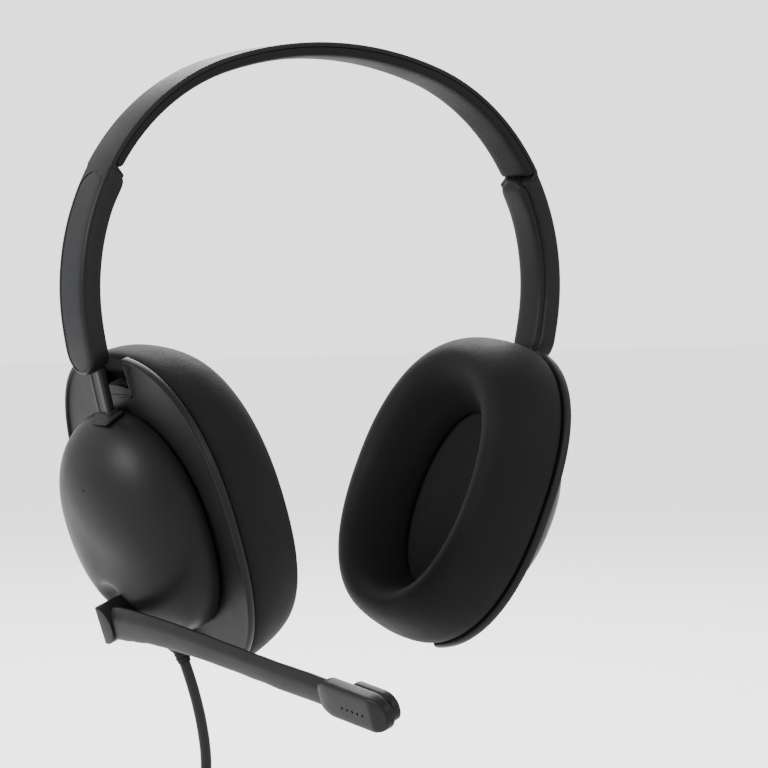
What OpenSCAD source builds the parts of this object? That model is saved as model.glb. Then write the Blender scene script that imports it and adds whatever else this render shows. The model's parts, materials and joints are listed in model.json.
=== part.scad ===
// Over-ear office headset: a padded headband, two ear cups on sliding stems, a
// microphone boom that turns on the right cup, and a lead with a quick-disconnect
// plug. Millimetres. +Z is up and the wearer faces -Y, so the right cup, which
// carries the microphone, is on -X. The origin is the point under the headband
// pad that rests on the top of the head.

/* [Headband] */
// Depth of the headband and its arms, front to back
band_depth = 14; // [13:0.5:15]
// Thickness of the headband: skin, rib, spring and pad together
band_thick = 4.2; // [4.2:0.1:4.6]
// Radius of the outer surface over the crown
crown_r = 120; // [110:5:130]
// Angle of the crown's curve on each side of the middle
crown_sweep = 18; // [16:1:20]
// Radius of the outer surface at the shoulders
shoulder_r = 68; // [64:1:72]
// Angle of each shoulder's curve
shoulder_sweep = 80.6; // [79:0.2:82]

/* [Arms] */
// Radius of the outer surface of an arm below the shoulder
arm_r = 105; // [100:5:110]
// Angle of the arm's lower curve
arm_sweep = 8; // [7:0.5:9]
// Angle from straight up at which an arm's housing starts
arm_from = 60; // [58:1:62]
// Thickness of an arm's housing
arm_thick = 5.6; // [5.4:0.1:5.8]
// Height of the raised cover on the inside of an arm
cover_rise = 1.8; // [1.6:0.1:2]
// Width of that cover
cover_w = 11; // [10.6:0.2:11.4]
// Width of the inlay on the outside of an arm
inlay_w = 11.6; // [11.2:0.2:11.8]

/* [Sliders] */
// Width of a slider stem, front to back
stem_w = 6.4; // [6:0.2:6.8]
// Thickness of a slider stem
stem_t = 2.4; // [2.2:0.1:2.5]
// Lean of a stem from upright
stem_lean = 14.5; // [14:0.5:15]
// Length of a stem inside its arm when it is pushed in
stem_in = 24; // [22:1:25]
// Length of a stem between its arm and the ear cup when it is pushed in
stem_out = 13; // [12:0.2:14]

/* [Ear cups] */
// Tilt of the ear cups: their lower ends lean in towards each other
cup_tilt = 20.5; // [18:0.5:22]
// Turn of the ovals in their own plane
cup_lean = 5; // [3:1:7]
// Half width of the ear tray's flange
tray_a = 39.8; // [39:0.2:40.4]
// Half height of the ear tray's flange
tray_b = 48.7; // [48:0.1:49.2]
// Half width of the outer shell
shell_a = 31; // [30.8:0.1:31.2]
// Half height of the outer shell
shell_b = 33.2; // [33:0.1:33.4]
// Height of the outer shell's crown above its rim
shell_h = 19; // [18.8:0.1:19.1]
// Half width of the ear cushion
cushion_a = 39; // [38:0.2:39.4]
// Half height of the ear cushion
cushion_b = 48; // [47:0.2:48.4]
// How far the cushion stands out from the tray
cushion_h = 24; // [23:0.5:25]
// Radius of the loudspeaker
speaker_r = 18.8; // [18:0.1:19]

/* [Boom] */
// Distance from the boom's pivot to the end of the microphone housing
boom_len = 132; // [128:1:138]
// How far the boom points below the ear cup's front-to-back line
boom_drop = 3.6; // [0:0.2:8]
// Radius of the boom's hub
hub_r = 5.6; // [5.4:0.1:5.8]
// Height of the boom's blade at its middle
blade_w = 6.7; // [6.3:0.1:6.9]
// Thickness of the boom's blade
blade_t = 3; // [2.8:0.1:3.2]
// Length of the microphone housing
mic_len = 27; // [25:1:29]
// Height of the microphone housing
mic_w = 9.8; // [9.4:0.2:10.2]

/* [Lead] */
// Diameter of the lead
cord_d = 3.2; // [3:0.1:3.2]
// Mean radius of the tied coil
coil_r = 17.5; // [17.5:0.5:18.5]

/* [Plug] */
// Width of the plug
plug_w = 19.7; // [19.4:0.1:20]
// Thickness of the plug
plug_t = 11; // [10.5:0.5:12]
// Length of the plug's body from its strain relief to its collar
plug_body_l = 22.4; // [21:0.2:24]
// Length of the plug's strain relief
relief_l = 25.5; // [24:0.5:27]

/* [Hidden] */

$fn = 72;
gap = 0.2;          // clearance between pieces that are only near each other
fit = 0.05;         // radial clearance of a running fit
edge = 0.4;         // chamfer along moulded edges
over = 1;           // how far a cutting shape runs past the face it cuts

skin_t = 1.4;       // outer skin of the headband
rib_t = 0.6;        // rib behind the skin, which carries the spring
rib_w = 10;
spring_t = 0.8;
spring_w = 9;
pad_depth = skin_t + rib_t + spring_t;
pad_t = band_thick - pad_depth;
pad_w = 13;
wire_r = 0.6;
wire_y = 5.8;
inlay_t = 0.8;
pocket_w = 9.4;     // room for the stem and its spring inside an arm
pocket_t = 2.9;
pocket_from = 2;
proud = 0.1;        // how far an arm's housing stands out past the band's skin
layer_to = arm_from - 1;

// Centres of the three curves of the outer surface, in the XZ plane.
function polar(a) = [sin(a), cos(a)];
crown_c = [0, band_thick - crown_r];
shoulder_c = crown_c + (crown_r - shoulder_r) * polar(crown_sweep);
shoulder_end = crown_sweep + shoulder_sweep;
arm_c = shoulder_c + (shoulder_r - arm_r) * polar(shoulder_end);
arm_end = shoulder_end + arm_sweep;
function angle_of(length, r) = length / r * 180 / PI;

// The stem leaves the arm's end below the middle of its thickness.
mouth_depth = 4.6;
mouth = arm_c + (arm_r - mouth_depth) * polar(arm_end);
pivot_drop = stem_out + 8;
ball_r = 4;
ball_flat = 3.2;
pin_r = 1.8;
stem_end = pivot_drop - ball_flat - 1;
pin_head_r = 2.5;
pin_head_h = 0.8;
notch_pitch = 2;
notch_r = 0.5;
collar_h = 0.8;

// The ear cup's own frame: x to the rear, y up in its plane, z outwards.
pivot_up = 27;
pivot_out = 6.7;
cup_rear = 2;
pivot = mouth - pivot_drop * polar(stem_lean);
cup_c = pivot - pivot_up * polar(cup_tilt) - pivot_out * [cos(cup_tilt), -sin(cup_tilt)];
pivot_in_cup = [-cup_rear, pivot_up, pivot_out];
stem_in_cup = stem_lean - cup_tilt;

tray_up = 2.5;      // the flange's oval sits this much above the cup's centre
tray_top = 0.4;
tray_bottom = -1.8;
flange_e = 2.4;     // exponent of the flange's oval, 2 is an ellipse
oval_e = 2.15;      // exponent of the other ovals
shell_at = [1, 1.9]; // centre of the shell's oval
shell_rim = 2.2;
shell_wall = 2;
ridge_in = 2.7;     // how far inside the shell's outline the ridge stands
ridge_wall = 1.4;
ridge_top = 4.6;
notch_w = 16;       // gap in the flange where the stem and the lead pass
notch_top = 39;
notch_low = -36.4;
baffle_a = 27;
baffle_b = 38;
baffle_bottom = -4.6;
ring_a = 33.2;
ring_b = 42.2;
ring_wall = 3;
ear_a = 15;         // the cushion's opening at its bottom
ear_b = 28;
cloth_t = 0.6;
screw_r = 1.1;
screw_at = [[16, 24], [-16, 24], [16, -24], [-16, -24]];

// The boom turns about the cup's outward axis through this point.
hub_at = [5, -21.4];
hub_base = 14.8;
hub_top = 25.2;
axle_r = 2;
axle_top = 22.2;
blade_low = 21.6;
blade_l = boom_len - mic_len;
mic_low = 20.8;
mic_back_low = 17.8;
mic_shift = 0.2;    // the microphone housing's step and turn from the boom's line
mic_turn = 2.5;

// The lead leaves the right cup's gland and hangs to a tied coil.
gland_at = [6.5, 3.2];
gland_end = -43;
flange_from = 23.6; // where the gland's inner flange starts
cord_route = [
    [-42.6, 8.5, -174.3], [-41, 8.6, -178.5], [-39.4, 8.8, -182.8], [-38, 9, -187.2],
    [-36.7, 9.3, -191.7], [-35.7, 9.5, -196.3], [-34.9, 9.7, -201], [-34.4, 9.9, -206],
    [-34.1, 10, -212], [-34, 10, -218], [-34, 10, -224]
];
tail_route = [[-34, 6.8, -247.6], [-34, 6.8, -249.3], [-34, 6.8, -250.96]];
coil_layers = 3;
coil_section = coil_layers * cord_d;
coil_at = [-34 + coil_r + cord_d, 10, -236];
tie_l = 5;
tie_wall = 1;

plug_at = [-34, 6.8, -251];
relief_r = 3.65;
relief_neck_r = 1.8;
relief_rings = 5;
collar_l = 4.3;
mating_l = 8.7;
cap_w = 14.9;
latch_t = 1.9;
latch_w = 8;
body_start = relief_l;
collar_start = body_start + plug_body_l;
mating_start = collar_start + collar_l;
plug_end = mating_start + mating_l;

// ---- shared shapes -------------------------------------------------------

module on_side(side) {
    if (side > 0) children();
    else mirror([1, 0, 0]) children();
}

// Cross-section of a slab: thickness along x, width along y, chamfered edges.
module slab(t, w, e) {
    polygon([
        [0, e - w / 2], [e, -w / 2], [t - e, -w / 2], [t, e - w / 2],
        [t, w / 2 - e], [t - e, w / 2], [e, w / 2], [0, w / 2 - e]
    ]);
}

// The headband's skin with its rib, as one cross-section. x runs outwards.
module skin_profile() {
    low = -rib_t;
    polygon([
        [low, -rib_w / 2], [0, -rib_w / 2], [0, edge - band_depth / 2],
        [edge, -band_depth / 2], [skin_t - edge, -band_depth / 2],
        [skin_t, edge - band_depth / 2], [skin_t, band_depth / 2 - edge],
        [skin_t - edge, band_depth / 2], [edge, band_depth / 2],
        [0, band_depth / 2 - edge], [0, rib_w / 2], [low, rib_w / 2]
    ]);
}

module bent_skin(c, r, a, b) {
    translate([c[0], 0, c[1]]) rotate([90, 0, 0]) rotate([0, 0, 90 - b])
        rotate_extrude(angle = b - a) translate([r - skin_t, 0]) skin_profile();
}

// A slab bent about c, from angle a to angle b, its outer face at radius r - depth.
module bent(c, r, depth, t, w, a, b, e = 0.1) {
    translate([c[0], 0, c[1]]) rotate([90, 0, 0]) rotate([0, 0, 90 - b])
        rotate_extrude(angle = b - a) translate([r - depth - t, 0]) slab(t, w, e);
}

// A layer of the headband from one end to the other.
module band_layer(depth, t, w, to, e = 0.1) {
    bent(crown_c, crown_r, depth, t, w, -crown_sweep, crown_sweep, e);
    for (side = [-1, 1]) on_side(side)
        bent(shoulder_c, shoulder_r, depth, t, w, crown_sweep, to, e);
}

// A layer of the left arm.
module arm_layer(depth, t, w, a, b, e = 0.1) {
    bent(shoulder_c, shoulder_r, depth, t, w, a, shoulder_end, e);
    bent(arm_c, arm_r, depth, t, w, shoulder_end, b, e);
}

// A prism across the left arm between the angles a and b, with rounded ends of
// radius r. Its sides are w apart. With open_top the upper end runs on.
module arm_prism(a, b, w, r, open_top = false) {
    top = shoulder_c + shoulder_r * polar(a);
    end = arm_c + arm_r * polar(b);
    l = norm(end - top);
    run = end - top;
    half = asin(min(1, w / 2 / r));
    ends = [for (t = [-half : half / 6 : half + 0.01]) [l - r + r * cos(t), r * sin(t)]];
    starts = open_top ? [[-20, w / 2], [-20, -w / 2]]
        : [for (t = [-half : half / 6 : half + 0.01]) [r - r * cos(t), -r * sin(t)]];
    translate([top[0], 0, top[1]]) rotate([0, atan2(-run[1], run[0]), 0])
        translate([0, 0, -20]) linear_extrude(40) polygon(concat(ends, starts));
}

// A layer of the left arm with rounded ends.
module arm_stadium(depth, t, w, a, b) intersection() {
    arm_layer(depth, t, w + 1, a - 3, arm_end + 3);
    arm_prism(a, b, w, w / 2 + 0.05);
}

// The stem's frame: origin at the arm's mouth, z up along the stem, x outwards.
module stem_frame() {
    translate([mouth[0], 0, mouth[1]]) rotate([0, stem_lean, 0]) children();
}

module cup_frame() {
    translate([cup_c[0], cup_rear, cup_c[1]]) rotate([0, cup_tilt, 0])
        rotate([90, 0, 90]) children();
}

// The stem's frame moved to its pivot, inside the ear cup's frame.
module pivot_frame() {
    translate(pivot_in_cup) rotate([-90 + stem_in_cup, 0, 0]) rotate([0, 0, 90]) children();
}

// The boom's frame: origin on its pivot, x along the boom, z outwards.
module boom_frame() {
    on_side(-1) cup_frame() translate([hub_at[0], hub_at[1], 0])
        rotate([0, 0, 180 + boom_drop]) children();
}

function signed_pow(x, p) = sign(x) * pow(abs(x), p);
function oval(a, b, e, n = 72) = [
    for (i = [0 : n - 1]) let (t = 360 * i / n)
        [a * signed_pow(cos(t), 2 / e), b * signed_pow(sin(t), 2 / e)]
];

// An upright oval slab between two heights in the ear cup's frame.
module oval_slab(a, b, low, high, e = oval_e, up = 0) {
    translate([0, up, low]) rotate([0, 0, cup_lean])
        linear_extrude(high - low) polygon(oval(a, b, e));
}

module oval_ring(a, b, a2, b2, low, high, e = oval_e, up = 0) {
    difference() {
        oval_slab(a, b, low, high, e, up);
        oval_slab(a2, b2, low - over, high + over);
    }
}

// ---- headband ------------------------------------------------------------

module headband_frame() color("#2c2d2f") {
    bent_skin(crown_c, crown_r, -crown_sweep, crown_sweep);
    for (side = [-1, 1]) on_side(side) {
        bent_skin(shoulder_c, shoulder_r, crown_sweep, arm_from + 0.5);
        arm_housing();
    }
}

module arm_housing() difference() {
    intersection() {
        arm_layer(-proud, arm_thick + proud, band_depth + 2 * proud, arm_from, arm_end + 3, edge);
        arm_prism(arm_from + 8, arm_end, band_depth + 2, band_depth / 2 + 1, true);
    }
    arm_stadium(-over, over + inlay_t, inlay_w, arm_from + 1.4, arm_end - 1);
    stem_pocket();
}

// The straight room that a stem slides in, with a narrow slot at its mouth.
module stem_pocket() stem_frame() {
    translate([-pocket_t / 2, -pocket_w / 2, pocket_from])
        cube([pocket_t, pocket_w, stem_in + 1 - pocket_from]);
    translate([-stem_t / 2 - gap, -stem_w / 2 - gap, -6])
        cube([stem_t + 2 * gap, stem_w + 2 * gap, 12]);
}

module headband_pad() color("#3a3b3d")
    band_layer(pad_depth, pad_t, pad_w, layer_to, edge);

module band_spring() color("silver")
    band_layer(skin_t + rib_t, spring_t, spring_w, layer_to);

// The wire to the left loudspeaker, along the rear of the headband's groove.
module band_wire() color("#7a2222") {
    wire_arc(crown_c, crown_r, -crown_sweep, crown_sweep);
    for (side = [-1, 1]) on_side(side)
        wire_arc(shoulder_c, shoulder_r, crown_sweep, layer_to);
}

module wire_arc(c, r, a, b) {
    depth = (skin_t + pad_depth) / 2;
    translate([c[0], wire_y, c[1]]) rotate([90, 0, 0]) rotate([0, 0, 90 - b])
        rotate_extrude(angle = b - a) translate([r - depth, 0]) circle(wire_r, $fn = 24);
}

module arm_inlay(side) color("#353638") on_side(side)
    arm_stadium(0, inlay_t, inlay_w - 2 * gap, arm_from + 1.6, arm_end - 1.1);

module arm_cover(side) color("#2f3032") on_side(side) difference() {
    arm_stadium(arm_thick, cover_rise, cover_w, arm_from + 0.8, arm_end - 1.5);
    stem_pocket();
}

module detent_spring(side) color("silver") on_side(side) stem_frame() {
    leaf_y = stem_w / 2 + 0.15;
    translate([-1, leaf_y, 3]) cube([2, 0.4, 12]);
    translate([-1, leaf_y + 0.4, 12]) cube([2, pocket_w / 2 - leaf_y - 0.45, 3]);
}

// ---- sliders and pivots --------------------------------------------------

module slider_stem(side) color("#3c3d40") on_side(side) stem_frame() {
    difference() {
        translate([-stem_t / 2, 0, -stem_end]) linear_extrude(stem_end + stem_in)
            slab(stem_t, stem_w, 0.5);
        for (z = [notch_pitch : notch_pitch : stem_in - notch_pitch])
            translate([-stem_t, stem_w / 2 + 0.1, z]) rotate([0, 90, 0])
                cylinder(r = notch_r, h = 2 * stem_t, $fn = 24);
    }
    translate([0, 0, -pivot_drop - ball_flat - gap])
        cylinder(r = pin_r, h = pivot_drop + ball_flat + gap - stem_end + 0.5);
    translate([0, 0, -pivot_drop - ball_flat - gap - pin_head_h])
        cylinder(r = pin_head_r, h = pin_head_h);
}

module stem_collar(side) color("#1c1c1d") on_side(side) stem_frame()
    translate([0, 0, -stem_out + 1.3]) linear_extrude(collar_h) difference() {
        square([stem_t + 2.2, stem_w + 2.2], center = true);
        square([stem_t, stem_w], center = true);
    }

module pivot_ball(side) color("gainsboro") on_side(side) stem_frame()
    translate([0, 0, -pivot_drop]) difference() {
        sphere(r = ball_r);
        cylinder(r = pin_r + fit, h = 4 * ball_r, center = true);
        for (s = [-1, 1]) translate([0, 0, s * (ball_flat + ball_r)])
            cube(2 * ball_r, center = true);
    }

module pivot_socket(side) color("#4a4b4e") on_side(side) cup_frame() difference() {
    union() {
        pivot_frame() translate([0, 0, -3]) cylinder(r = ball_r + 1, h = 6);
        translate([pivot_in_cup[0] - 3, pivot_in_cup[1] - 2.4, tray_top]) cube([6, 4.8, 2.5]);
    }
    pivot_frame() sphere(r = ball_r + fit);
    pivot_frame() linear_extrude(2 * ball_r) square([stem_t + 2.4, stem_w + 2.4], center = true);
    pivot_frame() translate([0, 0, -2 * ball_r]) cylinder(r = pin_head_r + 0.9, h = 2 * ball_r);
}

// ---- ear cups ------------------------------------------------------------

// Ring k of n of a shell's dome, from its rim to just under its crown.
function dome_ring(a, b, h, k, n, m) = let (
    t = 88 * k / n, s = pow(cos(t), 0.88), z = shell_rim + h * pow(sin(t), 0.88)
) [for (p = oval(a * s, b * s, oval_e, m)) [p[0], p[1], z]];

module outer_shell_dome() {
    rings = 9;
    m = 44;
    outer = [for (k = [0 : rings]) each dome_ring(shell_a, shell_b, shell_h, k, rings, m)];
    inner = [for (k = [0 : rings]) each dome_ring(shell_a - shell_wall,
        shell_b - shell_wall, shell_h - shell_wall, k, rings, m)];
    second = len(outer);
    function quad(base, k, i, flip) = let (
        p = base + k * m + i, q = base + k * m + (i + 1) % m
    ) flip ? [p, p + m, q + m, q] : [p, q, q + m, p + m];
    polyhedron(concat(outer, inner), concat(
        [for (k = [0 : rings - 1], i = [0 : m - 1]) quad(0, k, i, true)],
        [for (k = [0 : rings - 1], i = [0 : m - 1]) quad(second, k, i, false)],
        [for (i = [0 : m - 1]) [i, (i + 1) % m, second + (i + 1) % m, second + i]],
        [[for (i = [0 : m - 1]) rings * m + m - 1 - i]],
        [[for (i = [0 : m - 1]) second + rings * m + i]]
    ));
}

module outer_shell(side) color("#333436") on_side(side) cup_frame() difference() {
    union() {
        translate(shell_at) rotate([0, 0, cup_lean]) outer_shell_dome();
        if (side < 0) translate([hub_at[0], hub_at[1], hub_base - 3.2])
            cylinder(r = hub_r + 1.4, h = 3);
    }
    pivot_frame() translate([0, 0, 1])
        linear_extrude(20) square([stem_t + 2.8, stem_w + 2.6], center = true);
    translate(pivot_in_cup) sphere(r = ball_r + 2);
    if (side < 0) {
        translate([hub_at[0], hub_at[1], hub_base - gap])
            cylinder(r = hub_r + 0.5, h = 2 * hub_r);
        translate([hub_at[0], hub_at[1], 0]) cylinder(r = axle_r, h = hub_top);
        gland_frame() cylinder(r = 2.7, h = 60);
    }
}

module gland_frame() translate([gland_at[0], 0, gland_at[1]]) rotate([90, 0, 0]) children();

module at_screws() rotate([0, 0, cup_lean])
    for (p = screw_at) translate([p[0], p[1], 0]) children();

module ear_tray(side) color("#2a2b2d") on_side(side) cup_frame() difference() {
    union() {
        oval_slab(tray_a, tray_b, tray_bottom, tray_top, flange_e, tray_up);
        translate([shell_at[0], shell_at[1], 0])
            oval_slab(shell_a - ridge_in, shell_b - ridge_in, tray_top, ridge_top);
    }
    translate([shell_at[0], shell_at[1], 0]) oval_slab(shell_a - ridge_in - ridge_wall,
        shell_b - ridge_in - ridge_wall, tray_top, ridge_top + over);
    translate(pivot_in_cup) sphere(r = ball_r + 2);
    translate([0, 0, tray_bottom - over]) cylinder(r = speaker_r + 1, h = 10);
    translate([pivot_in_cup[0] - notch_w / 2, notch_top, tray_bottom - over])
        cube([notch_w, 20, 10]);
    translate([gland_at[0] - 11, notch_low - 20, tray_bottom - over]) cube([17, 20, 10]);
    pivot_frame() translate([0, 0, 1])
        linear_extrude(24) square([stem_t + 2.8, stem_w + 2.6], center = true);
    at_screws() translate([0, 0, tray_bottom - over]) cylinder(r = screw_r, h = 10, $fn = 32);
    if (side < 0) gland_frame() {
        cylinder(r = 2.6, h = 60);
        translate([0, 0, flange_from - 0.4]) cylinder(r = 3.2, h = 2.4);
    }
}

module baffle(side) color("#232324") on_side(side) cup_frame() difference() {
    oval_slab(baffle_a, baffle_b, baffle_bottom, tray_bottom);
    for (ring = [0 : 2], i = [0 : 5 + 4 * ring])
        rotate([0, 0, 360 * i / (6 + 4 * ring)])
            translate([3 + 4.5 * ring, 0, baffle_bottom - over])
                cylinder(r = 1.2, h = 5, $fn = 24);
    at_screws() translate([0, 0, baffle_bottom - over]) cylinder(r = screw_r, h = 5, $fn = 32);
}

module baffle_screws(side) color("#8d8f92") on_side(side) cup_frame()
    at_screws() {
        translate([0, 0, baffle_bottom]) cylinder(r = screw_r - fit, h = 4.9, $fn = 32);
        translate([0, 0, baffle_bottom - 1.2]) difference() {
            cylinder(r = 2.1, h = 1.2, $fn = 32);
            translate([0, 0, -0.1]) linear_extrude(0.7) {
                square([2.6, 0.5], center = true);
                square([0.5, 2.6], center = true);
            }
        }
    }

module speaker_basket(side) color("#55565a") on_side(side) cup_frame() difference() {
    union() {
        translate([0, 0, -1.6]) cylinder(r = speaker_r, h = 2.6);
        translate([0, 0, 1]) cylinder(r1 = 16.5, r2 = 11.5, h = 4.6);
    }
    translate([0, 0, -1.6 - over]) cylinder(r = speaker_r - 1.4, h = over + 1.2);
    translate([0, 0, -0.5]) cylinder(r1 = 15.4, r2 = 9.5, h = 5.1);
    translate([0, 0, 4]) cylinder(r = 6, h = 3);
    for (i = [0 : 5]) rotate([0, 0, 60 * i + 30]) translate([13.4, 0, 2])
        cylinder(r = 1.5, h = 5, $fn = 24);
}

module speaker_magnet(side) color("#9a9ca0") on_side(side) cup_frame() {
    translate([0, 0, 5.7]) cylinder(r = 10.5, h = 4);
    translate([0, 0, 3.6]) cylinder(r = 4.6, h = 2.2);
}

module speaker_cone(side) color("#d0cfc8") on_side(side) cup_frame() {
    translate([0, 0, -1.5]) cylinder(r = speaker_r - 1.6, h = 0.4);
    translate([0, 0, -1.1]) cylinder(r = 5.4, h = 2.6);
}

module speaker_cloth(side) color("#3b3b3c") on_side(side) cup_frame()
    oval_slab(ear_a - gap, ear_b - gap, baffle_bottom - 1.9, baffle_bottom - 1.9 + cloth_t);

module cushion_ring(side) color("#1e1e1f") on_side(side) cup_frame()
    oval_ring(ring_a, ring_b, ring_a - ring_wall, ring_b - ring_wall, baffle_bottom, tray_bottom);

module cushion_layer(inset, a, b, low, high)
    oval_ring(cushion_a - inset, cushion_b - inset, a, b, low, high, oval_e, tray_up - 0.2);

module ear_cushion(side) color("#1d1d1e") on_side(side) cup_frame() {
    seat = baffle_bottom - 0.2;
    well = baffle_bottom - 2.6;
    cushion_layer(0.6, ring_a + gap, ring_b + gap, seat, tray_bottom);
    cushion_layer(0, 26, 38.5, well, seat);
    cushion_layer(0, ear_a, ear_b, -12, well);
    cushion_layer(0, ear_a + 2, ear_b + 2, -17, -12);
    cushion_layer(2, ear_a + 4.5, ear_b + 4.5, -21, -17);
    cushion_layer(6, ear_a + 8, ear_b + 8, -cushion_h, -21);
}

module circuit_board() color("#1f5a3a") on_side(-1) cup_frame() difference() {
    translate([-10, -24.2, 2.6]) cube([12.4, 6.4, 1.2]);
    for (x = [-8.4, 0.8]) translate([x, -21, 0]) cylinder(r = 0.8, h = 6, $fn = 24);
}

// ---- boom ----------------------------------------------------------------

module boom_axle() color("#a5a7aa") boom_frame() {
    translate([0, 0, hub_base - 5.4]) cylinder(r = 4, h = 2);
    translate([0, 0, hub_base - 3.6]) cylinder(r = axle_r, h = axle_top - hub_base + 3.6);
}

module boom_washer() color("#cfcfd2") boom_frame() translate([0, 0, hub_base - gap + 0.02])
    difference() {
        cylinder(r = hub_r - 0.4, h = 0.3);
        translate([0, 0, -over]) cylinder(r = axle_r + fit, h = 3);
    }

module boom_arm() color("#303133") boom_frame() difference() {
    union() {
        hub();
        translate([0, 0, blade_low]) linear_extrude(blade_t) blade_outline();
    }
    translate([0, 0, hub_base - over]) cylinder(r = axle_r + fit, h = axle_top - hub_base + 1.2);
}

// The hub's rear half is cut away on a slope, which leaves a half-round end.
module hub() difference() {
    translate([0, 0, hub_base + gap]) cylinder(r = hub_r, h = hub_top - hub_base - gap);
    translate([0, 0, hub_top]) rotate([0, 40, 0]) translate([-20, -10, 0]) cube([20, 20, 10]);
}

// The blade is tall at the hub, slimmer at its middle, and lies above the pivot.
module blade_outline() {
    upper = [[2, 4.8], [8, 5.6], [16, 6.2], [24, 6.4], [36, 6.3], [50, 5.9], [64, 5.1],
        [76, 4.5], [88, 4], [blade_l, 3.6]];
    lower = [[blade_l, 3.4], [92, 2.8], [76, 1.5], [64, 1], [50, 0.8], [36, 1.1],
        [24, 1.9], [14, 2.9], [6, 4], [2, 4.2]];
    k = blade_w / 6.7;
    polygon(concat([for (p = upper) [p[0], -k * p[1]]], [for (p = lower) [p[0], k * p[1]]]));
}

// The microphone's frame: origin where its housing meets the boom.
module mic_frame() boom_frame() translate([blade_l, mic_shift, 0]) rotate([0, 0, mic_turn])
    children();

// A bar with a tapered start and a round end, as an outline.
module capsule_outline(start, end, w) {
    r = w / 2 - 0.6;
    polygon(concat(
        [[end - r, -w / 2], [start + 4, -w / 2], [start, 1.6 - w / 2]],
        [[start, w / 2 - 1.6], [start + 4, w / 2], [end - r, w / 2]],
        [for (a = [80 : -20 : -80]) [end - r + r * cos(a), w / 2 * sin(a) / sin(80)]]
    ));
}

module mic_housing() color("#343537") mic_frame() difference() {
    translate([0, 0, mic_low]) linear_extrude(hub_top - mic_low)
        capsule_outline(0.4, mic_len, mic_w);
    translate([mic_len - 10.5, 0, mic_low - over]) cylinder(r = 3.3, h = 3.4 + over);
    for (i = [0 : 4]) translate([mic_len - 16.5 + 2.1 * i, 0.6, hub_top - 0.7])
        cylinder(r = 0.4, h = 2, $fn = 24);
}

module mic_cover() color("#2b2c2e") mic_frame() difference() {
    translate([0, 0, mic_back_low]) linear_extrude(mic_low - mic_back_low)
        capsule_outline(mic_len - 17.5, mic_len - 1.2, mic_w - 1.6);
    for (i = [-2 : 2]) translate([mic_len - 9.5 + 2 * i, 0, mic_back_low - over])
        linear_extrude(over + 0.8) square([0.8, 3], center = true);
}

module mic_element() color("#b9bbbe") mic_frame()
    translate([mic_len - 10.5, 0, mic_low + 0.1]) cylinder(r = 3, h = 2.7);

// ---- lead ----------------------------------------------------------------

module cord_gland() color("#202021") on_side(-1) cup_frame() gland_frame() {
    translate([0, 0, flange_from]) cylinder(r = 2.9, h = 1.6);
    translate([0, 0, flange_from + 1]) cylinder(r = 2.2, h = 37 - flange_from);
    translate([0, 0, 38]) cylinder(r1 = 2.4, r2 = 2, h = -gland_end - 38);
}

// One tube along a route, with a ring of points at each of the route's points.
module tube(route, r) {
    m = 8;
    n = len(route);
    function unit(v) = v / norm(v);
    function ring(k) = let (
        t = unit(route[min(k + 1, n - 1)] - route[max(k - 1, 0)]),
        side = unit(cross(t, [0, 1, 0])), up = [0, 1, 0]
    ) [for (i = [0 : m - 1]) route[k] + r * (cos(360 * i / m) * side + sin(360 * i / m) * up)];
    polyhedron([for (k = [0 : n - 1]) each ring(k)], concat(
        [[for (i = [0 : m - 1]) i]],
        [for (k = [0 : n - 2], i = [0 : m - 1])
            [k * m + (i + 1) % m, k * m + i, (k + 1) * m + i, (k + 1) * m + (i + 1) % m]],
        [[for (i = [0 : m - 1]) n * m - 1 - i]]
    ));
}

module cord() color("#222223") tube(cord_route, cord_d / 2);

module cord_tail() color("#222223") tube(tail_route, cord_d / 2);

module cord_coil() color("#222223") translate(coil_at) rotate([90, 0, 0])
    rotate_extrude() translate([coil_r - coil_section / 2, 0])
        slab(coil_section, coil_section, cord_d / 2);

module coil_tie() color("#151515") translate(coil_at + [coil_r, 0, -tie_l / 2])
    linear_extrude(tie_l) difference() {
        square(coil_section + 2 * tie_wall + 0.8, center = true);
        square(coil_section + 0.6, center = true);
    }

// ---- plug ----------------------------------------------------------------

// The plug's frame: z runs from the lead towards the mating end, which points down.
module plug_frame() translate(plug_at) rotate([180, 0, 0]) children();

module front_slab(t) rotate([90, 0, 0]) linear_extrude(t, center = true) children();

module plug_relief() color("#1a1a1b") plug_frame() difference() {
    cylinder(r = relief_r, h = relief_l);
    pitch = relief_l / relief_rings;
    for (k = [0 : relief_rings - 2]) translate([0, 0, pitch * (k + 0.5)]) difference() {
        cylinder(r = relief_r + over, h = 1.6);
        translate([0, 0, -over]) cylinder(r = relief_neck_r + 1, h = 4);
    }
}

module plug_body() color("#1d1d1e") plug_frame() {
    waist = body_start + 6.3;
    w = plug_w / 2;
    difference() {
        front_slab(plug_t) polygon([
            [-w + 1, body_start], [w - 1, body_start], [w, body_start + 1],
            [w - 1.3, waist], [w - 0.6, collar_start], [0.6 - w, collar_start],
            [1.3 - w, waist], [-w, body_start + 1]
        ]);
        for (s = [-1, 1]) translate([0, s * plug_t / 2, 0]) front_slab(1)
            polygon([[-6.8, body_start + 1.6], [6.8, body_start + 1.6],
                [6.8, collar_start - 1], [-6.8, collar_start - 1]]);
    }
    difference() {
        translate([-w, -plug_t / 2, collar_start]) cube([plug_w, plug_t, collar_l]);
        for (s = [-1, 1]) translate([-6.2, s * plug_t / 2 - 0.3, collar_start + 1])
            cube([12.4, 0.6, 2.4]);
    }
    difference() {
        translate([-cap_w / 2, -plug_t / 2 + 0.6, mating_start])
            cube([cap_w, plug_t - 3.6, mating_l]);
        translate([-cap_w / 2 + 1.2, -plug_t / 2 + 2, mating_start + 1])
            cube([cap_w - 2.4, 3.2, mating_l]);
    }
}

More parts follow.
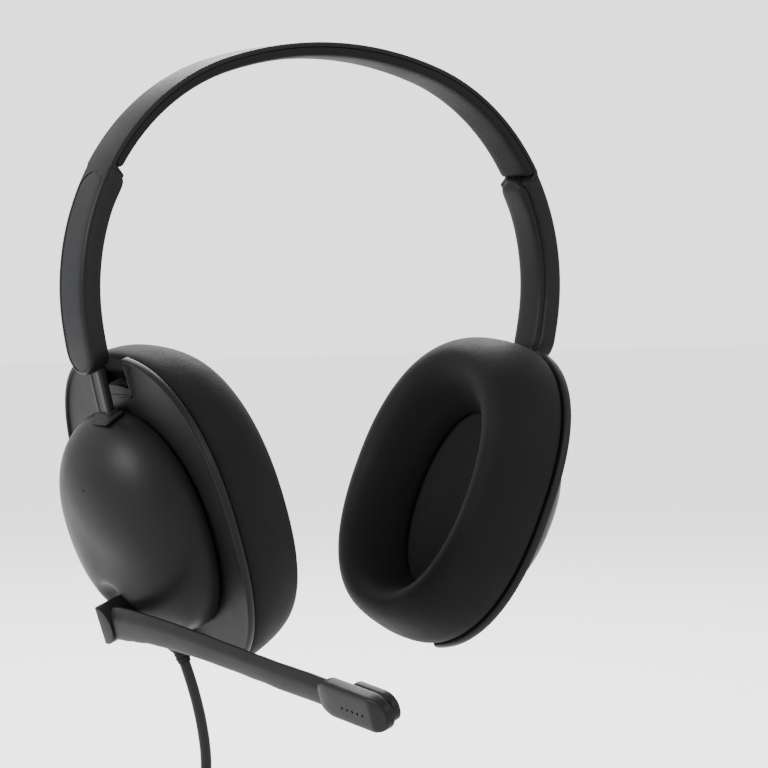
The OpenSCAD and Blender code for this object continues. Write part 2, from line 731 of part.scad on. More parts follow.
module plug_cap() color("#242425") plug_frame() {
    low = plug_t / 2 - 3;
    translate([-cap_w / 2, low, mating_start]) cube([cap_w, 2.2, mating_l]);
    translate([0, low + 2.6, 0]) front_slab(0.8) polygon([
        [-4.4, mating_start], [4.4, mating_start], [2.6, plug_end], [-2.6, plug_end]
    ]);
    intersection() {
        translate([0, low + 2, mating_start]) rotate([-90, 0, 0]) cylinder(r = 2.3, h = 1.6);
        translate([-4, low, mating_start]) cube([8, 5, 4]);
    }
}

module plug_contacts() color("#c9a24a") plug_frame()
    for (i = [-1.5 : 1.5]) translate([2.6 * i - 0.5, -plug_t / 2 + 2, mating_start + 1])
        cube([1, 0.8, mating_l - 2]);

module plug_latch(side) color("#1d1d1e") plug_frame() on_side(side) difference() {
    translate([plug_w / 2 - latch_t, -latch_w / 2, mating_start + gap])
        cube([latch_t, latch_w, mating_l - gap]);
    translate([plug_w / 2 - 0.7, -latch_w, mating_start + 3.6]) cube([2, 2 * latch_w, 1.4]);
}

// ---- drawing -------------------------------------------------------------

headband_frame();
headband_pad();
band_spring();
band_wire();
arm_inlay(-1);  // arm_inlay_right
arm_inlay(1);  // arm_inlay_left
arm_cover(-1);  // arm_cover_right
arm_cover(1);  // arm_cover_left
detent_spring(-1);  // detent_spring_right
detent_spring(1);  // detent_spring_left
slider_stem(-1);  // slider_stem_right
slider_stem(1);  // slider_stem_left
stem_collar(-1);  // stem_collar_right
stem_collar(1);  // stem_collar_left
pivot_ball(-1);  // pivot_ball_right
pivot_ball(1);  // pivot_ball_left
pivot_socket(-1);  // pivot_socket_right
pivot_socket(1);  // pivot_socket_left
outer_shell(-1);  // outer_shell_right
outer_shell(1);  // outer_shell_left
ear_tray(-1);  // ear_tray_right
ear_tray(1);  // ear_tray_left
baffle(-1);  // baffle_right
baffle(1);  // baffle_left
baffle_screws(-1);  // baffle_screws_right
baffle_screws(1);  // baffle_screws_left
speaker_basket(-1);  // speaker_basket_right
speaker_basket(1);  // speaker_basket_left
speaker_magnet(-1);  // speaker_magnet_right
speaker_magnet(1);  // speaker_magnet_left
speaker_cone(-1);  // speaker_cone_right
speaker_cone(1);  // speaker_cone_left
speaker_cloth(-1);  // speaker_cloth_right
speaker_cloth(1);  // speaker_cloth_left
cushion_ring(-1);  // cushion_ring_right
cushion_ring(1);  // cushion_ring_left
ear_cushion(-1);  // ear_cushion_right
ear_cushion(1);  // ear_cushion_left
circuit_board();
boom_axle();
boom_washer();
boom_arm();
mic_housing();
mic_cover();
mic_element();
cord_gland();
cord();
cord_coil();
cord_tail();
coil_tie();
plug_relief();
plug_body();
plug_cap();
plug_contacts();
plug_latch(-1);  // plug_latch_right
plug_latch(1);  // plug_latch_left
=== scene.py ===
"""Looks of the office headset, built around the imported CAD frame.

Lengths are written in millimetres and turned into metres when a mesh is made.
The wearer faces -Y, and the right cup, which carries the boom, is on -X.
"""

import json
from math import cos, degrees, pi, radians, sin, sqrt, tau

import bmesh
import bpy
import numpy as np
from mathutils import Matrix, Vector


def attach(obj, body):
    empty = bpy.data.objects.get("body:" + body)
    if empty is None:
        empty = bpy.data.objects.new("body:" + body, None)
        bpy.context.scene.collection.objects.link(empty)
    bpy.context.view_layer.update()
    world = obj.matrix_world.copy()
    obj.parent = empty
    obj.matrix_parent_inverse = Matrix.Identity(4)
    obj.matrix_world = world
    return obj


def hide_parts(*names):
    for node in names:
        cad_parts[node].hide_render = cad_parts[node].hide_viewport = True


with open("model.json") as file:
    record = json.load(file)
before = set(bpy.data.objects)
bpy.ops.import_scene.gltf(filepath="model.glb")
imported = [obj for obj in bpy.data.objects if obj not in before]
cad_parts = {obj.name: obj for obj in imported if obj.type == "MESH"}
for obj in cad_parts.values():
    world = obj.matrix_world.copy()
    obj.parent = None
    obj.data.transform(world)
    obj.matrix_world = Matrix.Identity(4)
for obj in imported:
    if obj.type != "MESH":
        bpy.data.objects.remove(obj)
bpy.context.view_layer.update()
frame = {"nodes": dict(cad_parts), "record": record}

MM = 0.001
RIGHT, LEFT = -1, 1
SIDE_NAME = {RIGHT: "right", LEFT: "left"}
collection = bpy.context.scene.collection


def add_object(name, data):
    thing = bpy.data.objects.new(name, data)
    collection.objects.link(thing)
    return thing


# ---- camera ----

EYE = Vector((-0.4485, -0.6617, -0.0583))
TARGET = Vector((0.01448, -0.01029, -0.09504))
FOCAL_LENGTH, SENSOR_WIDTH = 127.95, 36
NEAREST, FARTHEST = 0.05, 30


def add_camera():
    data = bpy.data.cameras.new("main_camera")
    data.lens, data.sensor_width = FOCAL_LENGTH, SENSOR_WIDTH
    data.clip_start, data.clip_end = NEAREST, FARTHEST
    camera = add_object("main_camera", data)
    camera.location = EYE
    camera.rotation_euler = (TARGET - EYE).to_track_quat("-Z", "Y").to_euler()
    bpy.context.scene.camera = camera


add_camera()


# ---- materials ----


def adjust(node, **values):
    """Sets a node's inputs by name, with _ for each space."""
    for name, value in values.items():
        node.inputs[name.replace("_", " ")].default_value = value


class Look:
    """A procedural material being built, in the object's own coordinates."""

    def __init__(self, name):
        self.material = bpy.data.materials.new(name)
        self.material.use_nodes = True
        self.tree = self.material.node_tree
        self.shader = self.tree.nodes["Principled BSDF"]
        self.place = self.tree.nodes.new("ShaderNodeTexCoord").outputs["Object"]
        self.relief = None

    def link(self, output, target):
        self.tree.links.new(output, target)

    def texture(self, kind, **values):
        node = self.tree.nodes.new(kind)
        self.link(self.place, node.inputs["Vector"])
        adjust(node, **values)
        return node

    def noise(self, scale, detail=4.0, rough=0.55):
        return self.texture("ShaderNodeTexNoise", Scale=scale, Detail=detail, Roughness=rough).outputs["Fac"]

    def rough(self, noise, low, high):
        """Roughness that runs from low to high over the middle of a noise."""
        node = self.tree.nodes.new("ShaderNodeMapRange")
        self.link(self.noise(*noise), node.inputs["Value"])
        adjust(node, From_Min=0.3, From_Max=0.7, To_Min=low, To_Max=high)
        self.link(node.outputs["Result"], self.shader.inputs["Roughness"])

    def tint(self, noise, color, spread):
        """Mixes two near tones of one colour by a noise, so that no surface is flat."""
        value = self.noise(*noise)
        node = self.tree.nodes.new("ShaderNodeMix")
        node.data_type = "RGBA"
        self.link(value, node.inputs["Factor"])
        adjust(node, A=(*[c * (1 - spread) for c in color], 1), B=(*[c * (1 + spread) for c in color], 1))
        self.link(node.outputs["Result"], self.shader.inputs["Base Color"])
        return value

    def bump(self, value, strength, distance):
        """Adds relief on top of the relief before it."""
        node = self.tree.nodes.new("ShaderNodeBump")
        adjust(node, Strength=strength, Distance=distance)
        self.link(value, node.inputs["Height"])
        if self.relief:
            self.link(self.relief, node.inputs["Normal"])
        self.relief = node.outputs["Normal"]
        self.link(self.relief, self.shader.inputs["Normal"])


PLASTIC_SHINE = 0.08
LEATHER_SHINE = 0.05
RUBBER_SHINE = 0.1


def plastic(look, color, rough, grain=1400, depth=0.35, spread=0.12, handling=0.06, coat=0.0):
    """Moulded plastic: fine grain, tone that drifts, and patches polished by handling."""
    drift = look.tint((28, 3), color, spread)
    look.rough((55, 5, 0.6), rough - handling, rough + handling)
    look.bump(look.noise(grain, 2, 0.5), depth, 0.00006)
    look.bump(drift, 0.12, 0.0004)
    adjust(look.shader, Specular_IOR_Level=PLASTIC_SHINE, Coat_Weight=coat, Coat_Roughness=0.35)


def leather(look, color, rough, cells=900, depth=0.5):
    """Leatherette: pebbled cells with fine creases between them."""
    drift = look.tint((22, 4), color, 0.16)
    cell = look.texture("ShaderNodeTexVoronoi", Scale=cells, Randomness=0.9)
    look.rough((60, 4), rough - 0.05, rough + 0.06)
    look.bump(cell.outputs["Distance"], depth, 0.00012)
    look.bump(look.noise(130, 3), 0.25, 0.0004)
    look.bump(drift, 0.25, 0.0016)
    adjust(look.shader, Specular_IOR_Level=LEATHER_SHINE, Sheen_Weight=0.01, Sheen_Roughness=0.5)


def woven(look, color, threads=1500):
    """Open cloth: sets of threads that cross."""
    total = None
    for direction in "XYZ":
        wave = look.texture("ShaderNodeTexWave", Scale=threads, Distortion=0.6)
        wave.bands_direction = direction
        if total is None:
            total = wave.outputs["Fac"]
            continue
        add = look.tree.nodes.new("ShaderNodeMath")
        add.operation = "MULTIPLY_ADD"
        look.link(total, add.inputs[0])
        look.link(wave.outputs["Fac"], add.inputs[1])
        add.inputs[2].default_value = 0.15
        total = add.outputs[0]
    drift = look.tint((40, 4), color, 0.2)
    look.bump(total, 0.7, 0.0002)
    look.bump(drift, 0.2, 0.0008)
    adjust(look.shader, Roughness=0.9, Specular_IOR_Level=LEATHER_SHINE, Sheen_Weight=0.02)


def rubber(look, color, rough):
    """Soft rubber with a dull, slightly uneven skin."""
    look.tint((70, 3), color, 0.15)
    look.rough((160, 4), rough - 0.06, rough + 0.08)
    look.bump(look.noise(900, 3), 0.25, 0.00008)
    adjust(look.shader, Specular_IOR_Level=RUBBER_SHINE)


def metal(look, color, rough, streaks=500):
    """Metal with fine streaks and uneven shine."""
    look.tint((90, 4), color, 0.08)
    look.rough((streaks, 5, 0.7), rough - 0.06, rough + 0.1)
    look.bump(look.noise(streaks * 2, 3), 0.15, 0.00005)
    adjust(look.shader, Metallic=1.0)


DARK = (0.0032, 0.0033, 0.0035)
LOOKS = [
    (plastic, "frame_plastic", DARK, 0.46),
    (plastic, "inlay_plastic", (0.006, 0.0061, 0.0065), 0.5, 2200, 0.25),
    (leather, "pad_leather", (0.0036, 0.0036, 0.0038), 0.55, 1100),
    (metal, "spring_steel", (0.55, 0.55, 0.57), 0.35),
    (rubber, "wire_rubber", (0.09, 0.012, 0.012), 0.5),
    (plastic, "stem_plastic", (0.0065, 0.0066, 0.007), 0.34, 1800, 0.15),
    (rubber, "collar_rubber", (0.005, 0.005, 0.0052), 0.6),
    (metal, "ball_chrome", (0.7, 0.7, 0.72), 0.14),
    (plastic, "inner_plastic", (0.018, 0.018, 0.019), 0.55, 700, 0.3),
    (plastic, "shell_plastic", DARK, 0.44, 1700, 0.3),
    (metal, "screw_steel", (0.42, 0.42, 0.44), 0.3),
    (plastic, "speaker_frame", (0.06, 0.06, 0.065), 0.5),
    (metal, "magnet_steel", (0.5, 0.5, 0.52), 0.3),
    (plastic, "cone_film", (0.5, 0.48, 0.42), 0.35, 400, 0.2),
    (woven, "speaker_fabric", (0.0048, 0.0048, 0.005)),
    (leather, "cushion_leather", (0.0028, 0.0028, 0.003), 0.62, 1300, 0.3),
    (plastic, "board_green", (0.01, 0.09, 0.035), 0.3, 300, 0.2),
    (plastic, "boom_plastic", DARK, 0.42, 1500, 0.3),
    (metal, "mic_metal", (0.6, 0.6, 0.62), 0.3),
    (rubber, "cord_rubber", (0.005, 0.005, 0.0052), 0.48),
    (plastic, "plug_plastic", (0.0036, 0.0036, 0.0038), 0.42, 620, 0.9, 0.12, 0.09),
    (metal, "contact_brass", (0.8, 0.6, 0.28), 0.2),
]
MATERIALS = {}
for make, name, *values in LOOKS:
    look = Look(name)
    make(look, *values)
    MATERIALS[name] = look.material

node_slot = {row["node"]: row["material_slot"] for row in frame["record"]["subparts"]}
for node, part in frame["nodes"].items():
    part.data.materials.clear()
    part.data.materials.append(MATERIALS[node_slot[node]])


# ---- mesh tools ----


def finish_mesh(mesh, angle):
    bm = bmesh.new()
    bm.from_mesh(mesh)
    bmesh.ops.remove_doubles(bm, verts=bm.verts, dist=1e-6)
    bmesh.ops.dissolve_degenerate(bm, edges=bm.edges, dist=1e-7)
    bmesh.ops.recalc_face_normals(bm, faces=bm.faces)
    bm.to_mesh(mesh)
    bm.free()
    mesh.polygons.foreach_set("use_smooth", [True] * len(mesh.polygons))
    mesh.set_sharp_from_angle(angle=radians(angle))
    mesh.update()


smoothing = {}  # the angle in degrees from which each piece's edges are sharp


def add_mesh(name, points, faces, angle):
    """A mesh object from points in millimetres."""
    mesh = bpy.data.meshes.new(name)
    mesh.from_pydata([tuple(float(c) * MM for c in p) for p in points], [], faces)
    finish_mesh(mesh, angle)
    piece = add_object(name, mesh)
    smoothing[piece.name] = angle
    return piece


def new_piece(name, points, faces, slot, body, nodes=(), angle=35):
    """A visible piece. It rides on body and stands for nodes."""
    piece = add_mesh(name, points, faces, angle)
    piece.data.materials.append(MATERIALS[slot])
    if body:
        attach(piece, body)
    if nodes:
        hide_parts(*nodes)
    return piece


def loft_faces(rows, columns, closed=False):
    """Quads over a grid whose columns run round. Ends are capped, or the rows join up."""
    faces = []
    for i in range(rows if closed else rows - 1):
        a, b = i * columns, (i + 1) % rows * columns
        for j in range(columns):
            k = (j + 1) % columns
            faces.append((a + j, a + k, b + k, b + j))
    if not closed:
        faces.append(tuple(range(columns - 1, -1, -1)))
        faces.append(tuple(range((rows - 1) * columns, rows * columns)))
    return faces


def loft(name, rows, slot, body, nodes=(), angle=35, closed=False):
    """A skin over rows of points, each row one closed section."""
    points = [p for row in rows for p in row]
    faces = loft_faces(len(rows), len(rows[0]), closed)
    return new_piece(name, points, faces, slot, body, nodes, angle)


def apply_modifiers(piece):
    depsgraph = bpy.context.evaluated_depsgraph_get()
    mesh = bpy.data.meshes.new_from_object(piece.evaluated_get(depsgraph))
    old, name = piece.data, piece.data.name
    piece.modifiers.clear()
    piece.data = mesh
    bpy.data.meshes.remove(old)
    mesh.name = name
    return mesh


def boolean(piece, tools):
    """Cuts the tools away from a piece and removes them."""
    for tool in tools:
        step = piece.modifiers.new("cut", "BOOLEAN")
        step.operation = "DIFFERENCE"
        step.solver = "EXACT"
        step.object = tool
    mesh = apply_modifiers(piece)
    for tool in tools:
        bpy.data.meshes.remove(tool.data)
    finish_mesh(mesh, smoothing[piece.name])


def bevel(piece, width, segments=2, limit=40):
    """Rounds the edges sharper than limit to a width in millimetres."""
    step = piece.modifiers.new("edge", "BEVEL")
    step.width = width * MM
    step.segments = segments
    step.limit_method = "ANGLE"
    step.angle_limit = radians(limit)
    step.harden_normals = False
    finish_mesh(apply_modifiers(piece), smoothing[piece.name])


def prism(outline, low, high, place):
    """Points and faces of a prism: outline is (x, y), and place takes (x, y, z)."""
    points = [place((x, y, z)) for z in (low, high) for x, y in outline]
    return points, loft_faces(2, len(outline))


def cutter(outline, low, high, place):
    return add_mesh("cutter", *prism(outline, low, high, place), 30)


def circle(r, n=32, x=0.0, y=0.0):
    return [(x + r * cos(tau * i / n), y + r * sin(tau * i / n)) for i in range(n)]


def rounded_box(x0, y0, x1, y1, r, n=5):
    """A rectangle with rounded corners, each of n steps."""
    out = []
    corners = ((x1 - r, y1 - r), (x0 + r, y1 - r), (x0 + r, y0 + r), (x1 - r, y0 + r))
    for quarter, (cx, cy) in enumerate(corners):
        for i in range(n + 1):
            a = radians(90 * quarter + 90 * i / n)
            out.append((cx + r * cos(a), cy + r * sin(a)))
    return out


def box_between(a, b, y0, y1):
    """A rectangle whose ends a and b come in either order."""
    return [(a, y0), (b, y0), (b, y1), (a, y1)]


def lathe(name, profile, slot, body, place, nodes=(), turns=48, angle=35):
    """Turns a profile of (radius, height) about the local z axis."""
    angles = [tau * j / turns for j in range(turns)]
    rows = [[place((r * cos(a), r * sin(a), z)) for a in angles] for r, z in profile]
    return loft(name, rows, slot, body, nodes, angle)


def smoothstep(low, high, x):
    """0 below low, 1 above high, and smooth between."""
    t = float(np.clip((x - low) / (high - low), 0, 1))
    return t * t * (3 - 2 * t)


def mix(a, b, t):
    return a + (b - a) * t


def squarer(x, power):
    """A sine or cosine raised to a power, with its sign kept."""
    return abs(x) ** power * (1 if x > 0 else -1)


def hump(x, width):
    """A smooth rise round 0."""
    return np.exp(-((x / width) ** 2))


def spline(p0, p1, p2, p3, t):
    """A point between p1 and p2 on a Catmull-Rom curve."""
    bend = (2 * p0 - 5 * p1 + 4 * p2 - p3) * t * t
    return 0.5 * (2 * p1 + (p2 - p0) * t + bend + (3 * p1 - p0 - 3 * p2 + p3) * t ** 3)


def interpolate(table, x):
    """Smooth values along a table of (x, value...)."""
    xs = [row[0] for row in table]
    i = int(np.clip(np.searchsorted(xs, x) - 1, 0, len(xs) - 2))
    t = smoothstep(xs[i], xs[i + 1], x)
    return [mix(a, b, t) for a, b in zip(table[i][1:], table[i + 1][1:])]


# ---- the headset's own frames ----

CROWN_R, SHOULDER_R, ARM_R = 120.0, 68.0, 105.0
CROWN_SWEEP, SHOULDER_END, ARM_END = 18.0, 98.6, 106.6
TOP = 4.2


def polar(angle):
    """A unit vector (x, z) at an angle in degrees from straight up."""
    a = radians(angle)
    return np.array([sin(a), cos(a)])


CROWN_C = np.array([0, TOP - CROWN_R])
SHOULDER_C = CROWN_C + (CROWN_R - SHOULDER_R) * polar(CROWN_SWEEP)
ARM_C = SHOULDER_C + (SHOULDER_R - ARM_R) * polar(SHOULDER_END)


def band_point(angle, depth, y):
    """A point of the headband at an angle from straight up, negative on the right."""
    side, a = (1 if angle >= 0 else -1), abs(angle)
    if a <= CROWN_SWEEP:
        centre, r = CROWN_C, CROWN_R
    elif a <= SHOULDER_END:
        centre, r = SHOULDER_C, SHOULDER_R
    else:
        centre, r = ARM_C, ARM_R
    x, z = centre + (r - depth) * polar(a)
    return (side * x, y, z)


ARM_LENGTH = radians(ARM_END - SHOULDER_END) * ARM_R


def arc_to_end(angle):
    """Length along the outer surface from an angle to the arm's lower end."""
    a = abs(angle)
    if a >= SHOULDER_END:
        return radians(ARM_END - a) * ARM_R
    return ARM_LENGTH + radians(SHOULDER_END - a) * SHOULDER_R


def angle_at(length):
    """The angle at a length up from the arm's lower end."""
    if length <= ARM_LENGTH:
        return ARM_END - degrees(length / ARM_R)
    return SHOULDER_END - degrees((length - ARM_LENGTH) / SHOULDER_R)


STEM_LEAN = 14.5
MOUTH_DEPTH = 4.6  # from the arm's outer face to the stem's middle, where it comes out
MOUTH_TO_PIVOT = 21.0
MOUTH = ARM_C + (ARM_R - MOUTH_DEPTH) * polar(ARM_END)
PIVOT = MOUTH - MOUTH_TO_PIVOT * polar(STEM_LEAN)


def stem_place(side):
    """Local frame of a stem: x outwards, y to the rear, z up along the stem."""
    c, s = cos(radians(STEM_LEAN)), sin(radians(STEM_LEAN))

    def place(p):
        x, y, z = p
        return (side * (MOUTH[0] + x * c + z * s), y, MOUTH[1] - x * s + z * c)

    return place


TILT = 20.5
PIVOT_UP, PIVOT_OUT, CUP_REAR = 27.0, 6.7, 2.0
TILT_C, TILT_S = cos(radians(TILT)), sin(radians(TILT))
CUP_X = PIVOT[0] - PIVOT_UP * TILT_S - PIVOT_OUT * TILT_C
CUP_Z = PIVOT[1] - PIVOT_UP * TILT_C + PIVOT_OUT * TILT_S


def cup_place(side):
    """Local frame of an ear cup: h to the rear, v up in its plane, n outwards."""

    def place(p):
        h, v, n = p
        return (side * (CUP_X + v * TILT_S + n * TILT_C), CUP_REAR + h, CUP_Z + v * TILT_C - n * TILT_S)

    return place


LEAN = radians(5)


def leaned(x, y):
    """Turns a point by the lean of the cup's ovals."""
    return x * cos(LEAN) - y * sin(LEAN), x * sin(LEAN) + y * cos(LEAN)


def oval(a, b, e, t):
    """A point of a leaning oval of half width a and half height b, squarer as e grows."""
    return leaned(a * squarer(cos(t), 2 / e), b * squarer(sin(t), 2 / e))


def even_oval(a, b, e, count):
    steps = 2400
    dense = np.array([oval(a, b, e, tau * i / steps) for i in range(steps + 1)])
    length = np.concatenate([[0], np.cumsum(np.hypot(*np.diff(dense, axis=0).T))])
    want = np.linspace(0, length[-1], count, endpoint=False)
    return np.stack([np.interp(want, length, dense[:, 0]), np.interp(want, length, dense[:, 1])], 1)


# ---- the lead, which comes first ----

CORD_D = 3.2
CORD_ROUTE = [
    (-42.6, 8.5, -174.3), (-41, 8.6, -178.5), (-39.4, 8.8, -182.8), (-38, 9, -187.2),
    (-36.7, 9.3, -191.7), (-35.7, 9.5, -196.3), (-34.9, 9.7, -201), (-34.3, 10.3, -206.5),
    (-34.05, 11.6, -212), (-34, 13.8, -218), (-34, 16, -223.5),
]
COIL_X, COIL_Z = -13.3, -236.0


def coil_point(turn, r, y):
    """A point on the coil, turn counted in degrees from its nearest side downwards."""
    a = radians(turn)
    return (COIL_X - r * cos(a), y, COIL_Z - r * sin(a))


# Turn in degrees, radius and y at the ends of each stretch of the coil.
COIL_TABLE = [
    (-22, 20.7, 16.6), (0, 19.9, 16.7), (30, 17, 16.6), (60, 14.3, 16.3), (120, 14.2, 13.3),
    (840, 14.2, 6.7), (900, 17.45, 6.7), (1620, 17.45, 13.3), (1680, 20.7, 14), (2520, 20.7, 6.5),
]
CORD_TAIL = [(-34, 6.5, -240), (-34, 6.7, -245), (-34, 6.8, -251.4)]


def catmull(points, steps):
    """A smooth curve through points, with steps points for each stretch."""
    pts = [np.array(p, float) for p in points]
    pts = [2 * pts[0] - pts[1]] + pts + [2 * pts[-1] - pts[-2]]
    out = []
    for i in range(1, len(pts) - 2):
        out += [spline(*pts[i - 1 : i + 3], k / steps) for k in range(steps)]
    out.append(pts[-2])
    return out


def coil_points():
    out = []
    for (t0, r0, y0), (t1, r1, y1) in zip(COIL_TABLE, COIL_TABLE[1:]):
        count = max(2, round((t1 - t0) / 10))
        for k in range(count):
            f = k / count
            out.append(coil_point(mix(t0, t1, f), mix(r0, r1, f), mix(y0, y1, f)))
    out.append(coil_point(*COIL_TABLE[-1]))
    return out


def make_cord():
    """The lead as one smooth curve, and its length in metres."""
    line = catmull(CORD_ROUTE + coil_points()[:1], 4)[:-1] + [np.array(p) for p in coil_points()]
    line += catmull([line[-1]] + CORD_TAIL, 4)[1:]
    pts = np.array(line)
    for _ in range(3):
        pts[1:-1] = 0.25 * pts[:-2] + 0.5 * pts[1:-1] + 0.25 * pts[2:]
    length = float(np.sum(np.linalg.norm(np.diff(pts, axis=0), axis=1))) * MM
    data = bpy.data.curves.new("lead", "CURVE")
    data.dimensions = "3D"
    data.bevel_depth = CORD_D / 2 * MM
    data.bevel_resolution = 4
    data.use_fill_caps = True
    spline = data.splines.new("POLY")
    spline.points.add(len(pts) - 1)
    for point, at in zip(spline.points, pts):
        point.co = (*(at * MM), 1)
    spline.use_smooth = True
    data.materials.append(MATERIALS["cord_rubber"])
    lead = add_object("lead", data)
    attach(lead, "ear_cup_right")
    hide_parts("cord", "cord_coil", "cord_tail")
    return lead, round(length, 3)


lead, lead_length = make_cord()


# ---- headband ----

BAND_W, ARM_T = 14.2, 5.6
SKIN_T, SKIN_EDGE, ARM_EDGE = 1.4, 0.45, 1.3
INLAY_TOP, INLAY_END = 61.8, 1.3
INLAY_W = 11.4


def band_section(w, t, r, step_w, step_t, recess, deep, rim):
    """The headband's outline across its depth: (y, depth), outer face first."""
    half = w / 2
    turn = [radians(90 * i / 5) for i in range(6)]
    out = [(-half + r - r * cos(a), r - r * sin(a)) for a in turn]
    inner = [
        (-recess - 0.55, 0), (-recess - 0.35, -rim), (-recess - 0.1, -rim), (-recess, deep * 0.5),
        (-recess, deep), (-recess / 2, deep), (0, deep),
    ]
    out += inner
    out += [(-y, d) for y, d in reversed(inner[:-1])]
    out += [(-y, d) for y, d in reversed(out[:6])]
    mid = r * 0.29
    back = [(half, t - r), (half - mid, t - mid), (half - r, t), (step_w, t), (step_w, t + step_t)]
    return out + back + [(-y, d) for y, d in reversed(back)]


def end_round(e, r):
    """How far a rounded end of radius r has closed at a length e from its tip."""
    return sqrt(max(0.0, 1 - (1 - min(e, r) / r) ** 2))


def arm_angles():
    """Where the arm's sections lie, closer together where it rounds off."""
    lengths = [0.03, 0.15, 0.4, 0.8, 1.2, 1.3, 1.6, 2, 2.6, 3.3, 4.2, 5.2, 6.2, 7.1, 8.5, 10, 12]
    lengths += list(np.arange(14, arc_to_end(INLAY_TOP) - 7, 2.5))
    top = arc_to_end(INLAY_TOP)
    lengths += [top - k for k in (6.2, 5.2, 4.2, 3.2, 2.2, 1.4, 0.8, 0.35, 0.1, 0.0)]
    lengths += [top + k for k in (0.6, 1.2, 1.6)]
    return [angle_at(k) for k in lengths]


def inlay_half(e):
    """Half width of the inlay at a length e from the arm's lower end."""
    half = INLAY_W / 2
    low = e - INLAY_END
    high = arc_to_end(INLAY_TOP) - e
    if low <= 0 or high <= 0:
        return 0.0
    return half * min(end_round(low, half), end_round(high, half))


def frame_row(angle):
    """The headband's section at an angle: thin skin above, deep arm with its inlay's bed below."""
    a, e = abs(angle), arc_to_end(angle)
    into = smoothstep(59.2, 60.6, a)
    w = max(0.3, BAND_W * end_round(e, BAND_W / 2))
    face = 1.2 * (1 - end_round(e, 1.2))
    back = 1.6 * (1 - end_round(e, 1.6))
    t = mix(SKIN_T, ARM_T, into) - face - back
    r = min(mix(SKIN_EDGE, ARM_EDGE, into), w / 2 - 0.05, t / 2 - 0.02)
    half = inlay_half(e)
    deep, rim = (0.35, 0.12) if half > 0.05 else (0.0, 0.0)
    flat = w / 2 - r
    step_w = min(mix(5.0, max(0.1, flat - 0.05), into), flat - 0.02)
    recess = min(max(half, 0.05), max(0.05, flat - 0.6))
    rows = band_section(w, t, r, step_w, mix(0.6, 0.02, into), recess, deep, rim)
    return [band_point(angle, d + face, y) for y, d in rows]


def make_frame():
    low = arm_angles() + [60.6, 60.3]
    angles = low + list(np.arange(59.9, -59.95, -0.8)) + [-a for a in reversed(low)]
    rows = [frame_row(a) for a in angles]
    frame_skin = loft("headband_body", rows, "frame_plastic", "headband", ["headband_frame"], angle=38)
    boolean(frame_skin, [stem_cutter(RIGHT), stem_cutter(LEFT)])


def stem_cutter(side, grow=0.0):
    """The room for a stem inside its arm."""
    a, b = 1.55 + grow, 3.5 + grow
    return cutter(rounded_box(-a, -b, a, b, 0.5), -8, 27, stem_place(side))


def inlay_row(side, e, lift):
    """The inlay's section: square below, with a face that crowns by lift."""
    half = max(inlay_half(e) - 0.12, 0.03)
    edge_r = min(0.25, half / 3)
    out = [(-half, 0.6), (-half, 0.2), (-half + edge_r * 0.3, 0.07), (-half + edge_r, 0.02)]
    mirrored = [(-y, d) for y, d in reversed(out)]
    out += [(k * half, 0.02 - lift * (1 - k * k)) for k in (-0.6, -0.25, 0.25, 0.6)]
    return [band_point(side * angle_at(e), d, y) for y, d in out + mirrored]


def make_inlay(side):
    tag = SIDE_NAME[side]
    top = arc_to_end(INLAY_TOP)
    near_end = (0.15, 0.3, 0.6, 1, 1.6, 2.4, 3.4, 4.6, 5.7)
    span = [INLAY_END + k for k in near_end] + list(np.arange(8.0, top - 6.5, 2.5))
    span += [top - k for k in reversed(near_end)]
    rows = [inlay_row(side, e, 0.08) for e in span]
    loft("inlay_" + tag, rows, "inlay_plastic", "headband", ["arm_inlay_" + tag])


COVER_TOP, COVER_HALF = 59.2, 5.6


def cover_row(side, e):
    """The cover inside an arm: a thick round lip on top, then a low flat-topped pad."""
    from_top, from_end = arc_to_end(COVER_TOP) - e, e - 0.5
    w = COVER_HALF * min(end_round(from_top + 0.4, COVER_HALF), end_round(from_end, COVER_HALF))
    w = max(w, 0.1)
    rise_top = end_round(from_top, 3.2)
    a = angle_at(e)
    extra = 0.35 * smoothstep(0, 3, from_top) * (1 - smoothstep(5, 13, from_top))
    high = max(0.08, (1.7 + extra) * min(rise_top, end_round(from_end, 4.4)))
    base = mix(3.2, ARM_T - 0.3, smoothstep(59.2, 60.9, a))
    base = min(base, 2.6 + 3.2 * rise_top)
    seat = ARM_T - 0.02
    out = []
    count = 14
    for i in range(count + 1):
        t = pi * i / count
        full = sin(t) ** 0.55
        foot = seat if base > 5 else base + (seat - base) * full
        out.append((w * squarer(cos(t), 0.62), foot + high * full))
    out += [(-w, base - 0.3), (w, base - 0.3)]
    return [band_point(side * a, d, y) for y, d in out]


def make_cover(side):
    tag = SIDE_NAME[side]
    top = arc_to_end(COVER_TOP)
    span = [0.52, 0.6, 0.8, 1.1, 1.6, 2.2, 3, 4, 5.2, 6.4, 8] + list(np.arange(10.0, top - 13, 2.2))
    span += [top - k for k in (12, 10, 8.4, 7, 5.8, 4.8, 4, 3.3, 2.6, 2, 1.5, 1, 0.6, 0.3, 0.12, 0.03)]
    rows = [cover_row(side, e) for e in span]
    cover = loft("arm_cover_" + tag, rows, "frame_plastic", "headband", ["arm_cover_" + tag], angle=50)
    boolean(cover, [stem_cutter(side, 0.1)])


# ---- headband pad ----

PAD_END = 59.0
PAD_HALF, PAD_TOP, PAD_CROWN = 6.85, 2.75, 1.55
LIP, LIP_TOP = 0.4, 1.55


